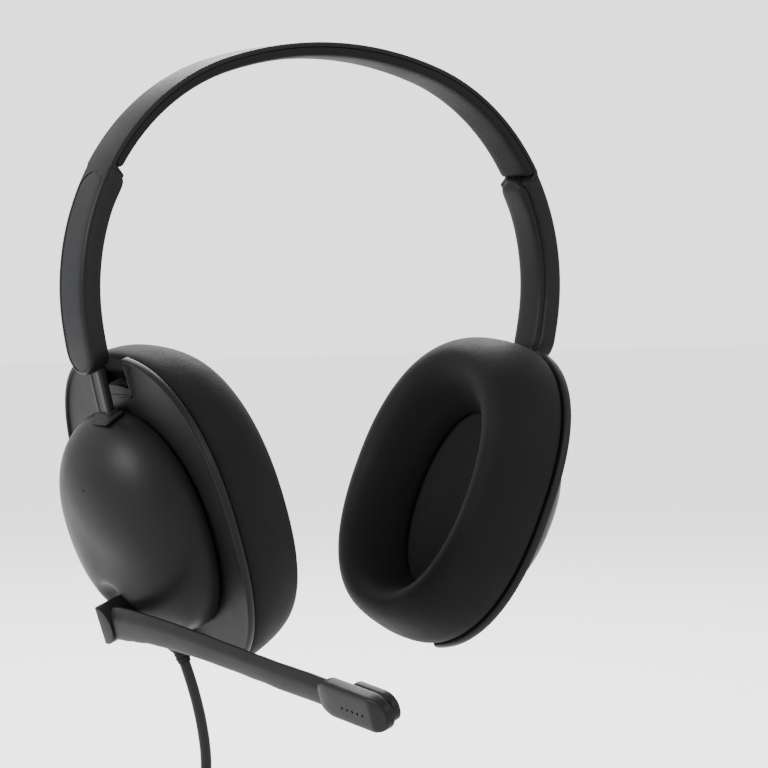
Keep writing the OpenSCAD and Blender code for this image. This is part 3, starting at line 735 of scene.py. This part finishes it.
def pad_row(angle):
    """The pad's section: a crowned face below, and a lip on each side that hides the spring."""
    shut = 0.35 + 0.65 * end_round((PAD_END - abs(angle)) * 1.2 + 0.05, 1.6)
    out = []
    count = 12
    for i in range(count + 1):
        t = pi * i / count
        out.append((PAD_HALF * squarer(cos(t), 0.55), PAD_TOP + PAD_CROWN * shut * sin(t) ** 0.6))
    edge, inside = PAD_HALF, PAD_HALF - LIP
    out += [(-edge, LIP_TOP), (-inside, LIP_TOP), (-inside, PAD_TOP - 0.05)]
    out += [(inside, PAD_TOP - 0.05), (inside, LIP_TOP), (edge, LIP_TOP)]
    return [band_point(angle, d, y) for y, d in out]


def make_pad():
    tip = [PAD_END - k for k in (0, 0.1, 0.3, 0.6, 1, 1.5, 2)]
    angles = tip + list(np.arange(56, -56.1, -1.0)) + [-a for a in reversed(tip)]
    rows = [pad_row(a) for a in angles]
    pad = loft("band_pad", rows, "pad_leather", "headband", ["headband_pad"], angle=60)


# ---- sliding stems ----

STEM_T, STEM_W, STEM_TOP, STEM_END = 2.4, 6.4, 24.0, -16.8
NOTCH_STEP = 2


def stem_section(t, w, c):
    """Corners cut by c on the inner face, and a shallow groove down the outer one."""
    a, b = t / 2, w / 2
    groove = a - 0.28
    upper = [(-a, b - c), (-a + c, b), (a - 0.5, b), (a, b - 0.5), (a, b - 1.3), (groove, b - 1.6)]
    return upper + [(x, -y) for x, y in reversed(upper)]


def make_stem(side):
    place, tag = stem_place(side), SIDE_NAME[side]
    section = stem_section(STEM_T, STEM_W, 0.5)
    lower = [(STEM_END, 0.72), (STEM_END + 0.4, 0.93), (STEM_END + 0.9, 1)]
    upper = [(STEM_TOP - 0.8, 1), (STEM_TOP - 0.3, 0.93), (STEM_TOP, 0.75)]
    rows = [[place((x * grow, y * grow, z)) for x, y in section] for z, grow in lower + upper]
    stem = loft("stem_" + tag, rows, "stem_plastic", "slider_" + tag, angle=30)
    notches = []
    for z in np.arange(NOTCH_STEP, 23, NOTCH_STEP):
        notches.append(cutter(circle(0.5, 12, z, 3.3), -3, 3, lambda p: place((p[2], p[1], p[0]))))
    boolean(stem, notches)
    bevel(stem, 0.12, 2, 35)
    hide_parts("slider_stem_" + tag)
    pin = [(1.2, -25.2), (2.4, -25.2), (2.5, -25.0), (2.5, -24.5), (1.8, -24.4), (1.8, -16.5), (1.2, -16.5)]
    lathe("stem_pin_" + tag, pin, "stem_plastic", "slider_" + tag, place, turns=32)


def make_collar(side):
    """The seal round a stem. It slopes with the shell that it sits on."""
    place, tag = stem_place(side), SIDE_NAME[side]
    ring = rounded_box(-3.0, -4.9, 3.4, 4.9, 1.3, 6)
    lip = rounded_box(-2.0, -4.0, 2.0, 4.0, 1.0, 6)
    hole = rounded_box(-1.22, -3.22, 1.22, 3.22, 0.45, 6)
    rows = []
    steps = ((hole, -13.1), (ring, -13.1), (ring, -12.6), (lip, -12.0), (lip, -11.3), (hole, -11.2))
    for outline, z in steps:
        rows.append([place((x, y, z - (0.42 if x > 0 else 0.2) * x)) for x, y in outline])
    name = "stem_collar_seal_" + tag
    loft(name, rows, "collar_rubber", "slider_" + tag, ["stem_collar_" + tag], angle=30, closed=True)


# ---- ear cups: tray ----

TRAY_A, TRAY_B, TRAY_E, TRAY_UP = 39.8, 48.4, 2.4, 2.7
STEM_NOTCH, GLAND_NOTCH = 39.4, -36.2  # how far from the middle each notch is cut
UNDER_BOOM = -41.6  # how low the right tray reaches where the boom passes in front of it


def between(x, a, b, c, d):
    """1 from b to c, falling smoothly to 0 at a and d."""
    return smoothstep(a, b, x) * (1 - smoothstep(c, d, x))


def tray_outline(side, count=420):
    """The flange's outline about the cup's centre, with its two notches."""
    pts = even_oval(TRAY_A, TRAY_B, TRAY_E, count)
    out = []
    for h, v in pts:
        v += TRAY_UP
        if v > 30:
            v += (min(v, STEM_NOTCH) - v) * between(h, -10.4, -8.8, 5.2, 6.4)
        if v < -25:
            v += (max(v, GLAND_NOTCH) - v) * between(h, -5.6, -4.2, 11.2, 12.6)
        if side == RIGHT and h < -4.9:
            v = max(v, UNDER_BOOM)
        out.append((h, v))
    return out


def make_tray(side):
    place, tag = cup_place(side), SIDE_NAME[side]
    outline = np.array(tray_outline(side))
    nearer = np.roll(outline, 1, 0) - np.roll(outline, -1, 0)
    normal = np.stack([-nearer[:, 1], nearer[:, 0]], 1)
    normal /= np.linalg.norm(normal, axis=1, keepdims=True)

    def ring(inset, n):
        return [place((h, v, n)) for h, v in outline - normal * inset]

    def inner(scale, n):
        pts = even_oval(TRAY_A * scale, TRAY_B * scale, TRAY_E, len(outline))
        return [place((h, v + TRAY_UP * scale, n)) for h, v in pts]

    rim = [
        (3.4, -1.8), (0.9, -1.8), (0.35, -1.68), (0.08, -1.3), (0, -0.7), (0, 0.35), (0.12, 0.62),
        (0.4, 0.72), (0.85, 0.66), (1.15, 0.35), (1.35, 0.02), (1.9, -0.05), (3.2, -0.02),
    ]
    rows = [inner(0.52, -1.75)] + [ring(*row) for row in rim]
    rows += [inner(0.82, 0.25), inner(0.76, 0.5), inner(0.68, 0.62), inner(0.52, 0.62)]
    loft("tray_" + tag, rows, "shell_plastic", "ear_cup_" + tag, ["ear_tray_" + tag], angle=32, closed=True)


# ---- ear cups: outer shell ----

SHELL_A, SHELL_B, SHELL_E = 31.1, 33.4, 2.18
SHELL_RIM, SHELL_EDGE, SHELL_H = 1.5, 0.45, 19.3
SHELL_REAR, SHELL_UP = 1.0, 1.9
HUB_H, HUB_V = 5.0, -21.4
HUB_BASE, HUB_TOP, HUB_R = 14.9, 25.2, 5.6
GLAND_H, GLAND_N = 6.5, 3.2


def shell_height(h, v, base, side):
    """Shapes the dome: a flatter crown in two soft lobes, and a seat round the hub."""
    x, y = h - SHELL_REAR, v - SHELL_UP
    x, y = x * cos(LEAN) + y * sin(LEAN), -x * sin(LEAN) + y * cos(LEAN)
    waist = hump(y + 4, 9) * hump(x + 2, 16)
    upper = hump(y - 13, 11) * hump(x + 3, 14)
    lower = hump(y + 19, 9) * hump(x + 9, 10)
    n = base - 0.9 * waist + 0.7 * upper + 0.8 * lower
    if side == RIGHT:
        rho = np.hypot(h - HUB_H, v - HUB_V)
        seat = 1 - smoothstep(HUB_R + 0.6, HUB_R + 6.5, rho)
        n = mix(n, np.minimum(n, HUB_BASE + 0.25), seat)
    return n


def make_shell(side):
    place, tag = cup_place(side), SIDE_NAME[side]
    turns, rings = 220, 58

    def ring(scale, n, grow=0.0, shaped=0.0):
        """One ring of the shell. shaped says how far it takes the dome's own shape."""
        out = []
        for i in range(turns):
            h, v = oval(SHELL_A * scale + grow, SHELL_B * scale + grow, SHELL_E, tau * i / turns)
            h, v = h + SHELL_REAR, v + SHELL_UP
            out.append(place((h, v, mix(n, shell_height(h, v, n, side), shaped))))
        return out

    foot = SHELL_RIM + SHELL_EDGE
    rows = [ring(0.02, 9), ring(0.6, 8), ring(0.9, 3.2), ring(0.93, SHELL_RIM, 0.3)]
    rows += [ring(1.0, SHELL_RIM, -0.35), ring(1.0, SHELL_RIM + 0.12, -0.1), ring(1.0, foot)]
    for i in range(1, rings + 1):
        t = radians(90 * i / rings)
        scale = cos(t) ** 0.82 if i < rings else 0.004
        height = sin(t) ** 0.93
        rows.append(ring(scale, foot + SHELL_H * height, 0.0, smoothstep(0.05, 0.45, height)))
    shell = loft("shell_" + tag, rows, "shell_plastic", "ear_cup_" + tag, ["outer_shell_" + tag], angle=40)
    c, s = cos(radians(STEM_LEAN - TILT)), sin(radians(STEM_LEAN - TILT))

    def along(p):
        """Cup coordinates of a point in the stem's frame, its origin on the pivot."""
        x, y, z = p
        return place((y - CUP_REAR, PIVOT_UP + z * c - x * s, PIVOT_OUT + z * s + x * c))

    tools = [cutter(rounded_box(-2.25, -4.15, 2.25, 4.15, 1.1), 2.6, 26, along)]
    if side == RIGHT:
        tools.append(cutter(circle(0.32, 16, -1.5, 18.5), 10, 30, place))
        tools.append(cutter(circle(2.75, 32, GLAND_H, GLAND_N), 20, 60, lambda p: place((p[0], -p[2], p[1]))))
    boolean(shell, tools)


# ---- ear cushions ----

# The cushion's section: half width, half height and height of each line round it,
# and how far the line follows the tray's outline instead of the ear opening's.
CUSHION = [
    (34, 43, -2, 1), (37.2, 45.8, -2, 1), (38.5, 47.1, -2.1, 1), (39.2, 47.8, -3.2, 1),
    (39.4, 47.9, -5.6, 1), (39.2, 47.5, -8.6, 1), (38.7, 46.8, -12, 1), (37.6, 45.6, -15.6, 0.9),
    (35.8, 43.9, -19, 0.75), (33.4, 41.7, -21.6, 0.6), (30.6, 39.3, -22.9, 0.5), (27.8, 36.9, -22.6, 0.35),
    (25.3, 34.7, -20.9, 0.25), (23, 32.7, -18.1, 0.15), (21, 31, -14.9, 0.1), (19.4, 29.5, -11.8, 0),
    (18.3, 28.4, -9.2, 0), (17.6, 27.8, -7.3, 0), (18.8, 29, -5.7, 0), (22.5, 33, -5, 0.2),
    (27, 37, -4.9, 0.5), (31.5, 41, -4.6, 0.8), (32.8, 42.2, -3.4, 1),
]
EAR_REAR, EAR_UP = -1.2, -1.0
SWELL = 0.8  # mm, the most that the cloth may move a point


def cushion_points(side, turns):
    """Rows along the cushion's section, one for each step round it."""
    place = cup_place(side)
    columns = []
    section = [np.array(row) for row in CUSHION]
    for i in range(len(section)):
        near = [section[(i + k) % len(section)] for k in (-1, 0, 1, 2)]
        for t in (0, 0.5):
            a, b, n, w = spline(*near, t)
            ring = even_oval(a, b, 2.1 + 0.28 * w, turns)
            ring += np.array([EAR_REAR * (1 - w), mix(EAR_UP, TRAY_UP - 0.2, w)])
            columns.append([place((h, v, n)) for h, v in ring])
    return [[column[i] for column in columns] for i in range(turns)]


def swell(piece, pressure):
    """Inflates a piece with cloth and keeps each point near where it began."""
    mesh = piece.data
    start = np.array([v.co[:] for v in mesh.vertices])
    seat = cup_coordinates(start / MM)[:, 2] > -5.4
    group = piece.vertex_groups.new(name="held")
    group.add([int(i) for i in np.nonzero(seat)[0]], 1.0, "REPLACE")
    cloth = piece.modifiers.new("cloth", "CLOTH")
    values = {
        "quality": 6, "mass": 0.15, "tension_stiffness": 40, "compression_stiffness": 12,
        "shear_stiffness": 10, "bending_stiffness": 1.2, "use_pressure": True,
        "uniform_pressure_force": pressure, "vertex_group_mass": "held",
    }
    for name, value in values.items():
        setattr(cloth.settings, name, value)
    cloth.settings.effector_weights.gravity = 0
    cloth.collision_settings.use_collision = False
    scene = bpy.context.scene
    scene.frame_start, scene.frame_end = 1, 20
    for k in range(1, 21):
        scene.frame_set(k)
    moved = apply_modifiers(piece)
    scene.frame_set(1)
    now = np.array([v.co[:] for v in moved.vertices])
    step = now - start
    size = np.linalg.norm(step, axis=1, keepdims=True)
    most = SWELL * MM
    step *= np.where(size > 1e-9, most * np.tanh(size / most) / np.maximum(size, 1e-9), 0)
    moved.vertices.foreach_set("co", (start + step).ravel())
    moved.update()


def cup_coordinates(points):
    """h, v, n of points in millimetres of the left cup."""
    dx, dz = points[:, 0] - CUP_X, points[:, 2] - CUP_Z
    return np.stack([points[:, 1] - CUP_REAR, dx * TILT_S + dz * TILT_C, dx * TILT_C - dz * TILT_S], 1)


def make_cushion():
    rows = cushion_points(LEFT, 132)
    piece = loft("cushion_left", rows, "cushion_leather", None, angle=180, closed=True)
    swell(piece, 3.0)
    smooth = piece.modifiers.new("smooth", "SMOOTH")
    smooth.factor, smooth.iterations = 0.5, 2
    piece.modifiers.new("finer", "SUBSURF").levels = 1
    finish_mesh(apply_modifiers(piece), 180)
    return piece


def mirror_cushion(piece):
    mirrored = add_object("cushion_right", piece.data.copy())
    mirrored.data.transform(Matrix.Scale(-1, 4, Vector((1, 0, 0))))
    mirrored.data.flip_normals()
    return mirrored


def make_cushions():
    left = make_cushion()
    for tag, piece in (("left", left), ("right", mirror_cushion(left))):
        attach(piece, "ear_cup_" + tag)
        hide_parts("ear_cushion_" + tag)


CLOTH_A, CLOTH_B, CLOTH_E = 19.0, 29.3, 2.1


def make_speaker_cloth(side):
    """The cloth over the loudspeaker: a shallow dish with a slack crease down it."""
    place, tag = cup_place(side), SIDE_NAME[side]
    rings, turns, hem = 26, 120, 0.94
    outwards = [(i, 0.0) for i in range(1, rings + 1)]
    rows = []
    for i, under in outwards + [(i, 0.45) for i, _ in reversed(outwards)]:
        s = i / rings
        row = []
        for t in range(turns):
            h, v = oval(CLOTH_A * s, CLOTH_B * s, CLOTH_E, tau * t / turns)
            crease = 0.35 * hump(h + 1.5 + 0.05 * v, 5.5) - 0.22 * hump(h - 7, 4.5)
            n = -6.5 + 0.9 * (1 - s * s) + crease * (1 - s ** 4) + under
            n += 0.4 * max(0.0, s - hem) / (1 - hem)
            row.append(place((h + EAR_REAR, v + EAR_UP, n)))
        rows.append(row)
    name = "speaker_cloth_" + tag + "_weave"
    cloth = loft(name, rows, "speaker_fabric", "ear_cup_" + tag, ["speaker_cloth_" + tag], angle=60)


# ---- boom ----

BOOM_TURN = radians(183.6)
right_cup = cup_place(RIGHT)


def boom_place(p):
    """Local frame of the boom: x along it, y downwards, z outwards."""
    x, y, z = p
    c, s = cos(BOOM_TURN), sin(BOOM_TURN)
    return right_cup((HUB_H + x * c - y * s, HUB_V + x * s + y * c, z))


def pill_section(height, low, high, power=3.2, count=28):
    """A rounded section: (y, z), height across and low to high outwards."""
    middle, half = (low + high) / 2, (high - low) / 2
    angles = [tau * (i + 0.5) / count for i in range(count)]
    e = 2 / power
    return [(height / 2 * squarer(cos(a), e), middle + half * squarer(sin(a), e)) for a in angles]


# Places along the blade, with its top edge, bottom edge, inner face and outer face.
BLADE = [
    (1.5, -4.2, 3.9, 20.6, 24.5), (4, -5, 4.1, 20.6, 24.6), (9, -5.7, 3.7, 20.8, 24.6),
    (15, -6.1, 2.9, 21.1, 24.6), (24, -6.3, 1.9, 21.4, 24.5), (36, -6.2, 1.5, 21.5, 24.4),
    (50, -5.8, 1.5, 21.6, 24.4), (64, -5.1, 1.9, 21.6, 24.4), (76, -4.5, 2.4, 21.6, 24.4),
    (88, -4.1, 3, 21.6, 24.5), (98, -3.9, 3.2, 21.5, 24.5), (107, -3.5, 3.5, 21.4, 24.5),
]


def make_blade():
    """The blade's outer face is flat below and rolls back to the upper edge."""
    rows = []
    for x in np.concatenate([[1.5, 1.8, 2.3, 3, 4], np.arange(5, 107.1, 1.5)]):
        top, bottom, low, high = interpolate(BLADE, x)
        shut = 0.55 + 0.45 * end_round(x - 1.45, 2.2)
        row = []
        for across, out in pill_section(2, -1, 1, 4.2, 44):
            y = (top + bottom) / 2 + across * (bottom - top) / 2 * shut
            thick = (out + 1) / 2 * (high - low) * (0.7 + 0.3 * shut)
            roll = max(0.0, -across)
            row.append(boom_place((x, y, low + thick * (1 - 0.62 * roll ** 2))))
        rows.append(row)
    loft("boom_blade", rows, "boom_plastic", "boom", ["boom_arm"], angle=50)


def make_hub():
    """The hub's drum, its end cut off on a slope towards the back."""
    foot = HUB_BASE + 0.15
    profile = [(2.1, foot), (HUB_R - 0.25, foot), (HUB_R, foot + 0.3)]
    profile += [(HUB_R, HUB_TOP - 0.02), (0.4, HUB_TOP), (0.05, HUB_TOP)]
    hub = lathe("boom_hub", profile, "boom_plastic", "boom", boom_place, turns=96, angle=30)
    c, s = cos(radians(42)), sin(radians(42))

    def sloped(p):
        x, y, z = p
        return boom_place((-0.6 + x * c - z * s, y, HUB_TOP + x * s + z * c))

    boolean(hub, [cutter(box_between(-20, 0, -10, 10), 0, 12, sloped)])
    bevel(hub, 0.28, 3, 30)


MIC_FROM, MIC_LEN, MIC_SHIFT, MIC_TURN = 105.0, 27.0, 0.2, radians(2.5)


def mic_place(p):
    """Local frame of the microphone's housing, its origin where it meets the boom."""
    x, y, z = p
    c, s = cos(MIC_TURN), sin(MIC_TURN)
    return boom_place((MIC_FROM + x * c - y * s, MIC_SHIFT + x * s + y * c, z))


def capsule_rows(table, low, high, power):
    """Sections for rows of (x, half height, cut off the inner face, cut off the outer face)."""
    rows = []
    for x, half, cut_low, cut_high in table:
        section = pill_section(2, low + cut_low, high - cut_high, power, 40)
        rows.append([mic_place((x, y * half, z)) for y, z in section])
    return rows


def round_end(end, r, half, power, tip):
    """(x, half height, share of the way) round the capsule's far end, of length r."""
    steps = 12
    for k in range(steps + 1):
        f = radians(90 * k / steps)
        yield end - r + r * sin(f), half * max(0.05, cos(f) ** power) if k < steps else tip, k / steps


def make_outer_capsule():
    start, end, half = 0.4, MIC_LEN, 4.9
    table = [(start, 2.9, 0.8, 0.7), (start + 0.25, 3.35, 0.45, 0.4), (start + 0.7, 3.65, 0.3, 0.25)]
    table += [(start + 2.2, 4.35, 0.12, 0.1), (start + 3.6, 4.8, 0.02, 0.02), (start + 4.6, half, 0, 0)]
    table += [(x, half, 0, 0) for x in np.arange(start + 6, end - 6.6, 2)]
    for x, width, share in round_end(end, 6.2, half, 0.72, 0.5):
        facet = max(0.0, (x - (end - 4.6)) / 4.6)
        table.append((x, width, 0.35 * facet, 1.5 * facet + (0.5 if share == 1 else 0)))
    rows = capsule_rows(table, 20.85, 25.2, 6)
    outer = loft("mic_housing_outer", rows, "boom_plastic", "boom", ["mic_housing"], angle=38)
    holes = []
    for i in range(5):
        holes.append(cutter(circle(0.4, 20, MIC_LEN - 16.5 + 2.1 * i, 0.6), 24.0, 26.5, mic_place))
    boolean(outer, holes)


def make_inner_capsule():
    start, end, half = 9.5, MIC_LEN - 1.2, 4.1
    table = [(start, 2.6, 0.9, 0), (start + 0.3, 3.3, 0.45, 0), (start + 1.0, 3.8, 0.15, 0)]
    table += [(x, half, 0, 0) for x in [start + 2.0, *np.arange(start + 4, end - 5.5, 2)]]
    for x, width, share in round_end(end, 4.6, half, 0.8, 0.4):
        table.append((x, width, 0.5 * share ** 2, 0.25 * share ** 3))
    rows = capsule_rows(table, 17.9, 20.7, 5)
    inner = loft("mic_housing_inner", rows, "boom_plastic", "boom", ["mic_cover"], angle=38)
    slits = []
    for i in range(-2, 3):
        x = MIC_LEN - 9.5 + 2 * i
        slits.append(cutter(rounded_box(x - 0.4, -1.5, x + 0.4, 1.5, 0.38, 3), 16, 18.5, mic_place))
    boolean(inner, slits)


def make_mic_seam():
    table = [(10.5, 3.3), (11.2, 3.6), (13, 3.6), (15, 3.6), (17, 3.6), (19, 3.6), (20.5, 3.2), (21.6, 2.4)]
    rows = capsule_rows([(x, half, 0, 0) for x, half in table], 20.5, 21.0, 5)
    loft("mic_seam", rows, "collar_rubber", "boom", ["mic_element"], angle=40)


# ---- gland ----


def gland_place(p):
    """Local frame of the gland: z down the lead from the cup's middle."""
    x, y, z = p
    return right_cup((GLAND_H + x, -z, GLAND_N + y))


def make_gland():
    """A flange inside the cup, a neck, then three ribs that grow thinner."""
    profile = [(0.5, 23.6), (2.9, 23.6), (2.9, 25.2), (2.2, 25.3)]
    profile += [(2.2, 36.5), (2.6, 36.9), (2.6, 37.9), (2.35, 38.2)]
    for k in range(3):
        z, r = 38.6 + 1.35 * k, 2.35 - 0.1 * k
        profile += [(r, z), (r, z + 0.65), (r - 0.3, z + 0.8), (r - 0.3, z + 1.15)]
    profile += [(1.98, 42.7), (1.9, 43), (1.62, 43.05), (0.4, 43.05)]
    lathe("gland", profile, "collar_rubber", "ear_cup_right", gland_place, ["cord_gland"], 40, 32)


# ---- quick-disconnect plug ----

PLUG_X, PLUG_Y, PLUG_Z = -34.0, 6.8, -251.0
RELIEF_L, COLLAR_Z, MATE_Z, PLUG_END = 25.5, 47.9, 52.2, 60.9


def plug_place(p):
    """Local frame of the plug: x across, y to the front, z from the lead to the mating end."""
    x, y, z = p
    return (PLUG_X + x, PLUG_Y - y, PLUG_Z - z)


def sideways(p):
    """For prisms drawn across and along the plug, and raised to its front."""
    return plug_place((p[0], p[2], p[1]))


def make_relief():
    profile = [(0.5, 0), (3.2, 0), (3.65, 0.5), (3.65, RELIEF_L), (0.5, RELIEF_L)]
    name, body = "plug_strain_relief", "ear_cup_right"
    relief = lathe(name, profile, "cord_rubber", body, plug_place, ["plug_relief"], 64, 30)
    tools = []
    for z in (RELIEF_L - down for down in (7.9, 12.6, 17.25, 22.1)):
        for x in (-3.75, 3.75):
            outline = rounded_box(x - 1.75, z - 0.72, x + 1.75, z + 0.72, 0.7, 5)
            tools.append(cutter(outline, -5, 5, sideways))
    for z in (RELIEF_L - down for down in (10.4, 15.1, 19.8)):
        outline = rounded_box(-3.2, z - 0.65, 3.2, z + 0.65, 0.2, 3)
        tools += [cutter(outline, low, high, sideways) for low, high in ((-4.5, -2), (2, 4.5))]
    for z in (RELIEF_L - down for down in (3.4, 5.6)):
        for sx in (-1, 1):
            outline = box_between(sx * 1.9, sx * 4.5, z - 0.55, z + 0.55)
            tools += [cutter(outline, low, high, sideways) for low, high in ((-4.5, -1.6), (1.6, 4.5))]
    boolean(relief, tools)
    bevel(relief, 0.12, 2, 35)


def plug_row(z, w, t, c):
    """One section of the plug's body, with bevels where the sides meet the faces."""
    e = min(0.5, c / 3)
    pts = []
    for sx, sy in ((1, 1), (-1, 1), (-1, -1), (1, -1)):
        shy = w - c * 0.75
        quad = [(w, t - c - e), (w - e * 0.45, t - c + e * 0.1), (shy, t - e * 0.35), (shy - e, t)]
        if sx * sy < 0:
            quad = quad[::-1]
        pts += [(sx * x, sy * y) for x, y in quad]
    return [plug_place((x, y, z)) for x, y in pts]


def make_plug_body():
    collar = COLLAR_Z
    shaft = [
        (0, 9.0, 4.6, 1.6), (0.35, 9.6, 5.2, 1.8), (1.0, 9.85, 5.45, 1.9), (2.4, 9.6, 5.4, 2.0),
        (4.6, 9.0, 5.1, 2.2), (5.8, 8.75, 4.75, 2.2), (7.0, 8.7, 4.65, 2.2), (10.0, 8.75, 4.7, 2.2),
        (14.0, 9.0, 4.85, 2.2), (18.0, 9.2, 5.05, 2.1),
    ]
    table = [(RELIEF_L + z, *row) for z, *row in shaft]
    table += [(collar - 0.5, 9.4, 5.2, 2.0), (collar - 0.3, 9.3, 5.05, 2.0), (collar, 9.3, 5.05, 1.9)]
    table += [(collar + 0.02, 9.6, 5.3, 1.2), (collar + 0.3, 9.85, 5.5, 1.1)]
    table += [(MATE_Z - 0.3, 9.85, 5.5, 1.1), (MATE_Z, 9.6, 5.25, 1.1)]
    rows = [plug_row(*row) for row in table]
    body = loft("plug_shell", rows, "plug_plastic", "ear_cup_right", ["plug_body"], angle=32)
    band = rounded_box(-6.25, collar + 0.95, 6.25, MATE_Z - 0.95, 0.25, 3)
    sunk = [cutter(band, low, high, sideways) for low, high in ((-6.5, -5.15), (5.15, 6.5))]
    boolean(body, sunk)
    shape = prism(rounded_box(-7.4, -4.85, 7.4, 2.45, 0.5), MATE_Z - 0.5, PLUG_END - 0.02, plug_place)
    tongue = new_piece("plug_tongue", *shape, "plug_plastic", "ear_cup_right", angle=32)
    mouth = cutter(rounded_box(-6.2, -3.45, 6.2, -0.35, 0.4), MATE_Z + 1, PLUG_END + 2, plug_place)
    boolean(tongue, [mouth])
    bevel(tongue, 0.2, 2, 50)


def half_disc(r, z):
    return [(r * cos(pi * i / 20), z + r * sin(pi * i / 20)) for i in range(21)]


def make_plug_cap():
    """The plate with its two slanting lines and side grooves, and the round button."""
    shape = prism(rounded_box(-7.4, 2.5, 7.4, 4.72, 0.45), MATE_Z - 0.4, PLUG_END - 0.05, plug_place)
    plate = new_piece("plug_plate", *shape, "plug_plastic", "ear_cup_right", ["plug_cap"], angle=32)
    z0, z1 = MATE_Z - 1, PLUG_END + 1
    lines = []
    for side in (-1, 1):
        outline = [(side * 4.5, z0), (side * 4.75, z0), (side * 2.85, z1), (side * 2.6, z1)]
        lines.append(cutter(outline, 4.45, 5.6, sideways))
        for x in (6.35, 6.85):
            lines.append(cutter(box_between(side * x, side * (x + 0.18), z0, z1), 4.4, 5.6, sideways))
    lines.append(cutter(half_disc(2.55, MATE_Z), 4.2, 5.6, sideways))
    boolean(plate, lines)
    shape = prism(half_disc(2.05, MATE_Z - 0.1), 3.6, 5.1, sideways)
    button = new_piece("plug_button", *shape, "plug_plastic", "ear_cup_right", angle=32)
    bevel(button, 0.25, 3)


def make_latch(side):
    tag = SIDE_NAME[side]
    x0, x1 = 7.98, 9.8
    z0, z1 = MATE_Z + 0.22, PLUG_END - 0.03
    outline = [(x0, z0), (x1, z0), (x1, z0 + 3.6), (x1 - 0.55, z0 + 3.75), (x1 - 0.55, z0 + 4.8)]
    outline += [(x1, z0 + 4.95), (x1, z1 - 0.7), (x1 - 0.5, z1), (x0 + 0.3, z1), (x0, z1 - 0.3)]
    points, faces = prism(outline, -3.9, 3.9, sideways)
    if side == RIGHT:
        points = [(2 * PLUG_X - x, y, z) for x, y, z in points]
    name, body = "plug_latch_arm_" + tag, "latch_" + tag
    latch = new_piece(name, points, faces, "plug_plastic", body, ["plug_latch_" + tag], angle=32)
    bevel(latch, 0.18)


def bundle_place(p):
    """Local frame of the bundle of turns where the strap holds it."""
    return (COIL_X + 17.5 + p[0], 10 + p[1], COIL_Z + p[2])


def make_tie():
    """A strap round the coil, with its free end laid over."""
    half, thick = 5.55, 0.75

    def ring(half, r, z):
        return [bundle_place((x, y, z)) for x, y in rounded_box(-half, -half, half, half, r, 6)]

    edges = ((-2.5, 0.15), (-2.3, 0), (2.3, 0), (2.5, 0.15))
    rows = [ring(half - less, 2.2, z) for z, less in edges]
    rows += [ring(half - thick + less, 1.6, z) for z, less in reversed(edges)]
    loft("coil_strap", rows, "collar_rubber", "ear_cup_right", ["coil_tie"], closed=True)
    flap = rounded_box(half - 0.1, -3.4, half + 0.7, 3.9, 0.3, 4)
    shape = prism(flap, -2.2, 2.2, bundle_place)
    end = new_piece("coil_strap_end", *shape, "collar_rubber", "ear_cup_right")
    bevel(end, 0.15)


# ---- the pieces ----

make_frame()
make_pad()
make_cushions()
for side in (RIGHT, LEFT):
    make_inlay(side)
    make_cover(side)
    make_stem(side)
    make_collar(side)
    make_tray(side)
    make_shell(side)
    make_speaker_cloth(side)
    make_latch(side)
make_blade()
make_hub()
make_outer_capsule()
make_inner_capsule()
make_mic_seam()
make_gland()
make_relief()
make_plug_body()
make_plug_cap()
make_tie()


# ---- floor and light ----

FLOOR_HALF = 6.0  # m
FLOOR_Z = -0.345  # m, below the hanging plug
SKY_STRENGTH = 2.2
OBJECT_MIDDLE = (0, 0, -0.1)


def add_floor():
    look = Look("floor_paper")
    look.tint((3, 2), (0.9, 0.9, 0.905), 0.01)
    adjust(look.shader, Roughness=0.8)
    mesh = bpy.data.meshes.new("floor")
    corners = [(x * FLOOR_HALF, y * FLOOR_HALF, FLOOR_Z) for x, y in ((-1, -1), (1, -1), (1, 1), (-1, 1))]
    mesh.from_pydata(corners, [], [(0, 1, 2, 3)])
    mesh.materials.append(look.material)
    add_object("floor", mesh)


def add_sky():
    world = bpy.data.worlds.new("studio")
    bpy.context.scene.world = world
    world.use_nodes = True
    background = world.node_tree.nodes["Background"]
    adjust(background, Color=(0.985, 0.99, 1.0, 1), Strength=SKY_STRENGTH)


def add_softbox(name, at, side_length, power):
    """A square lamp (m, W) aimed at the middle of the headset."""
    data = bpy.data.lights.new(name, "AREA")
    data.shape, data.size, data.energy = "SQUARE", side_length, power
    light = add_object(name, data)
    light.location = at
    light.rotation_euler = (Vector(OBJECT_MIDDLE) - Vector(at)).to_track_quat("-Z", "Y").to_euler()


add_floor()
add_sky()
add_softbox("key", (-1.45, 0.1, 0.6), 0.8, 50)
add_softbox("fill", (0.5, -1.4, 0.5), 0.7, 14)
add_softbox("rear", (0.7, 1.0, 0.9), 0.9, 30)
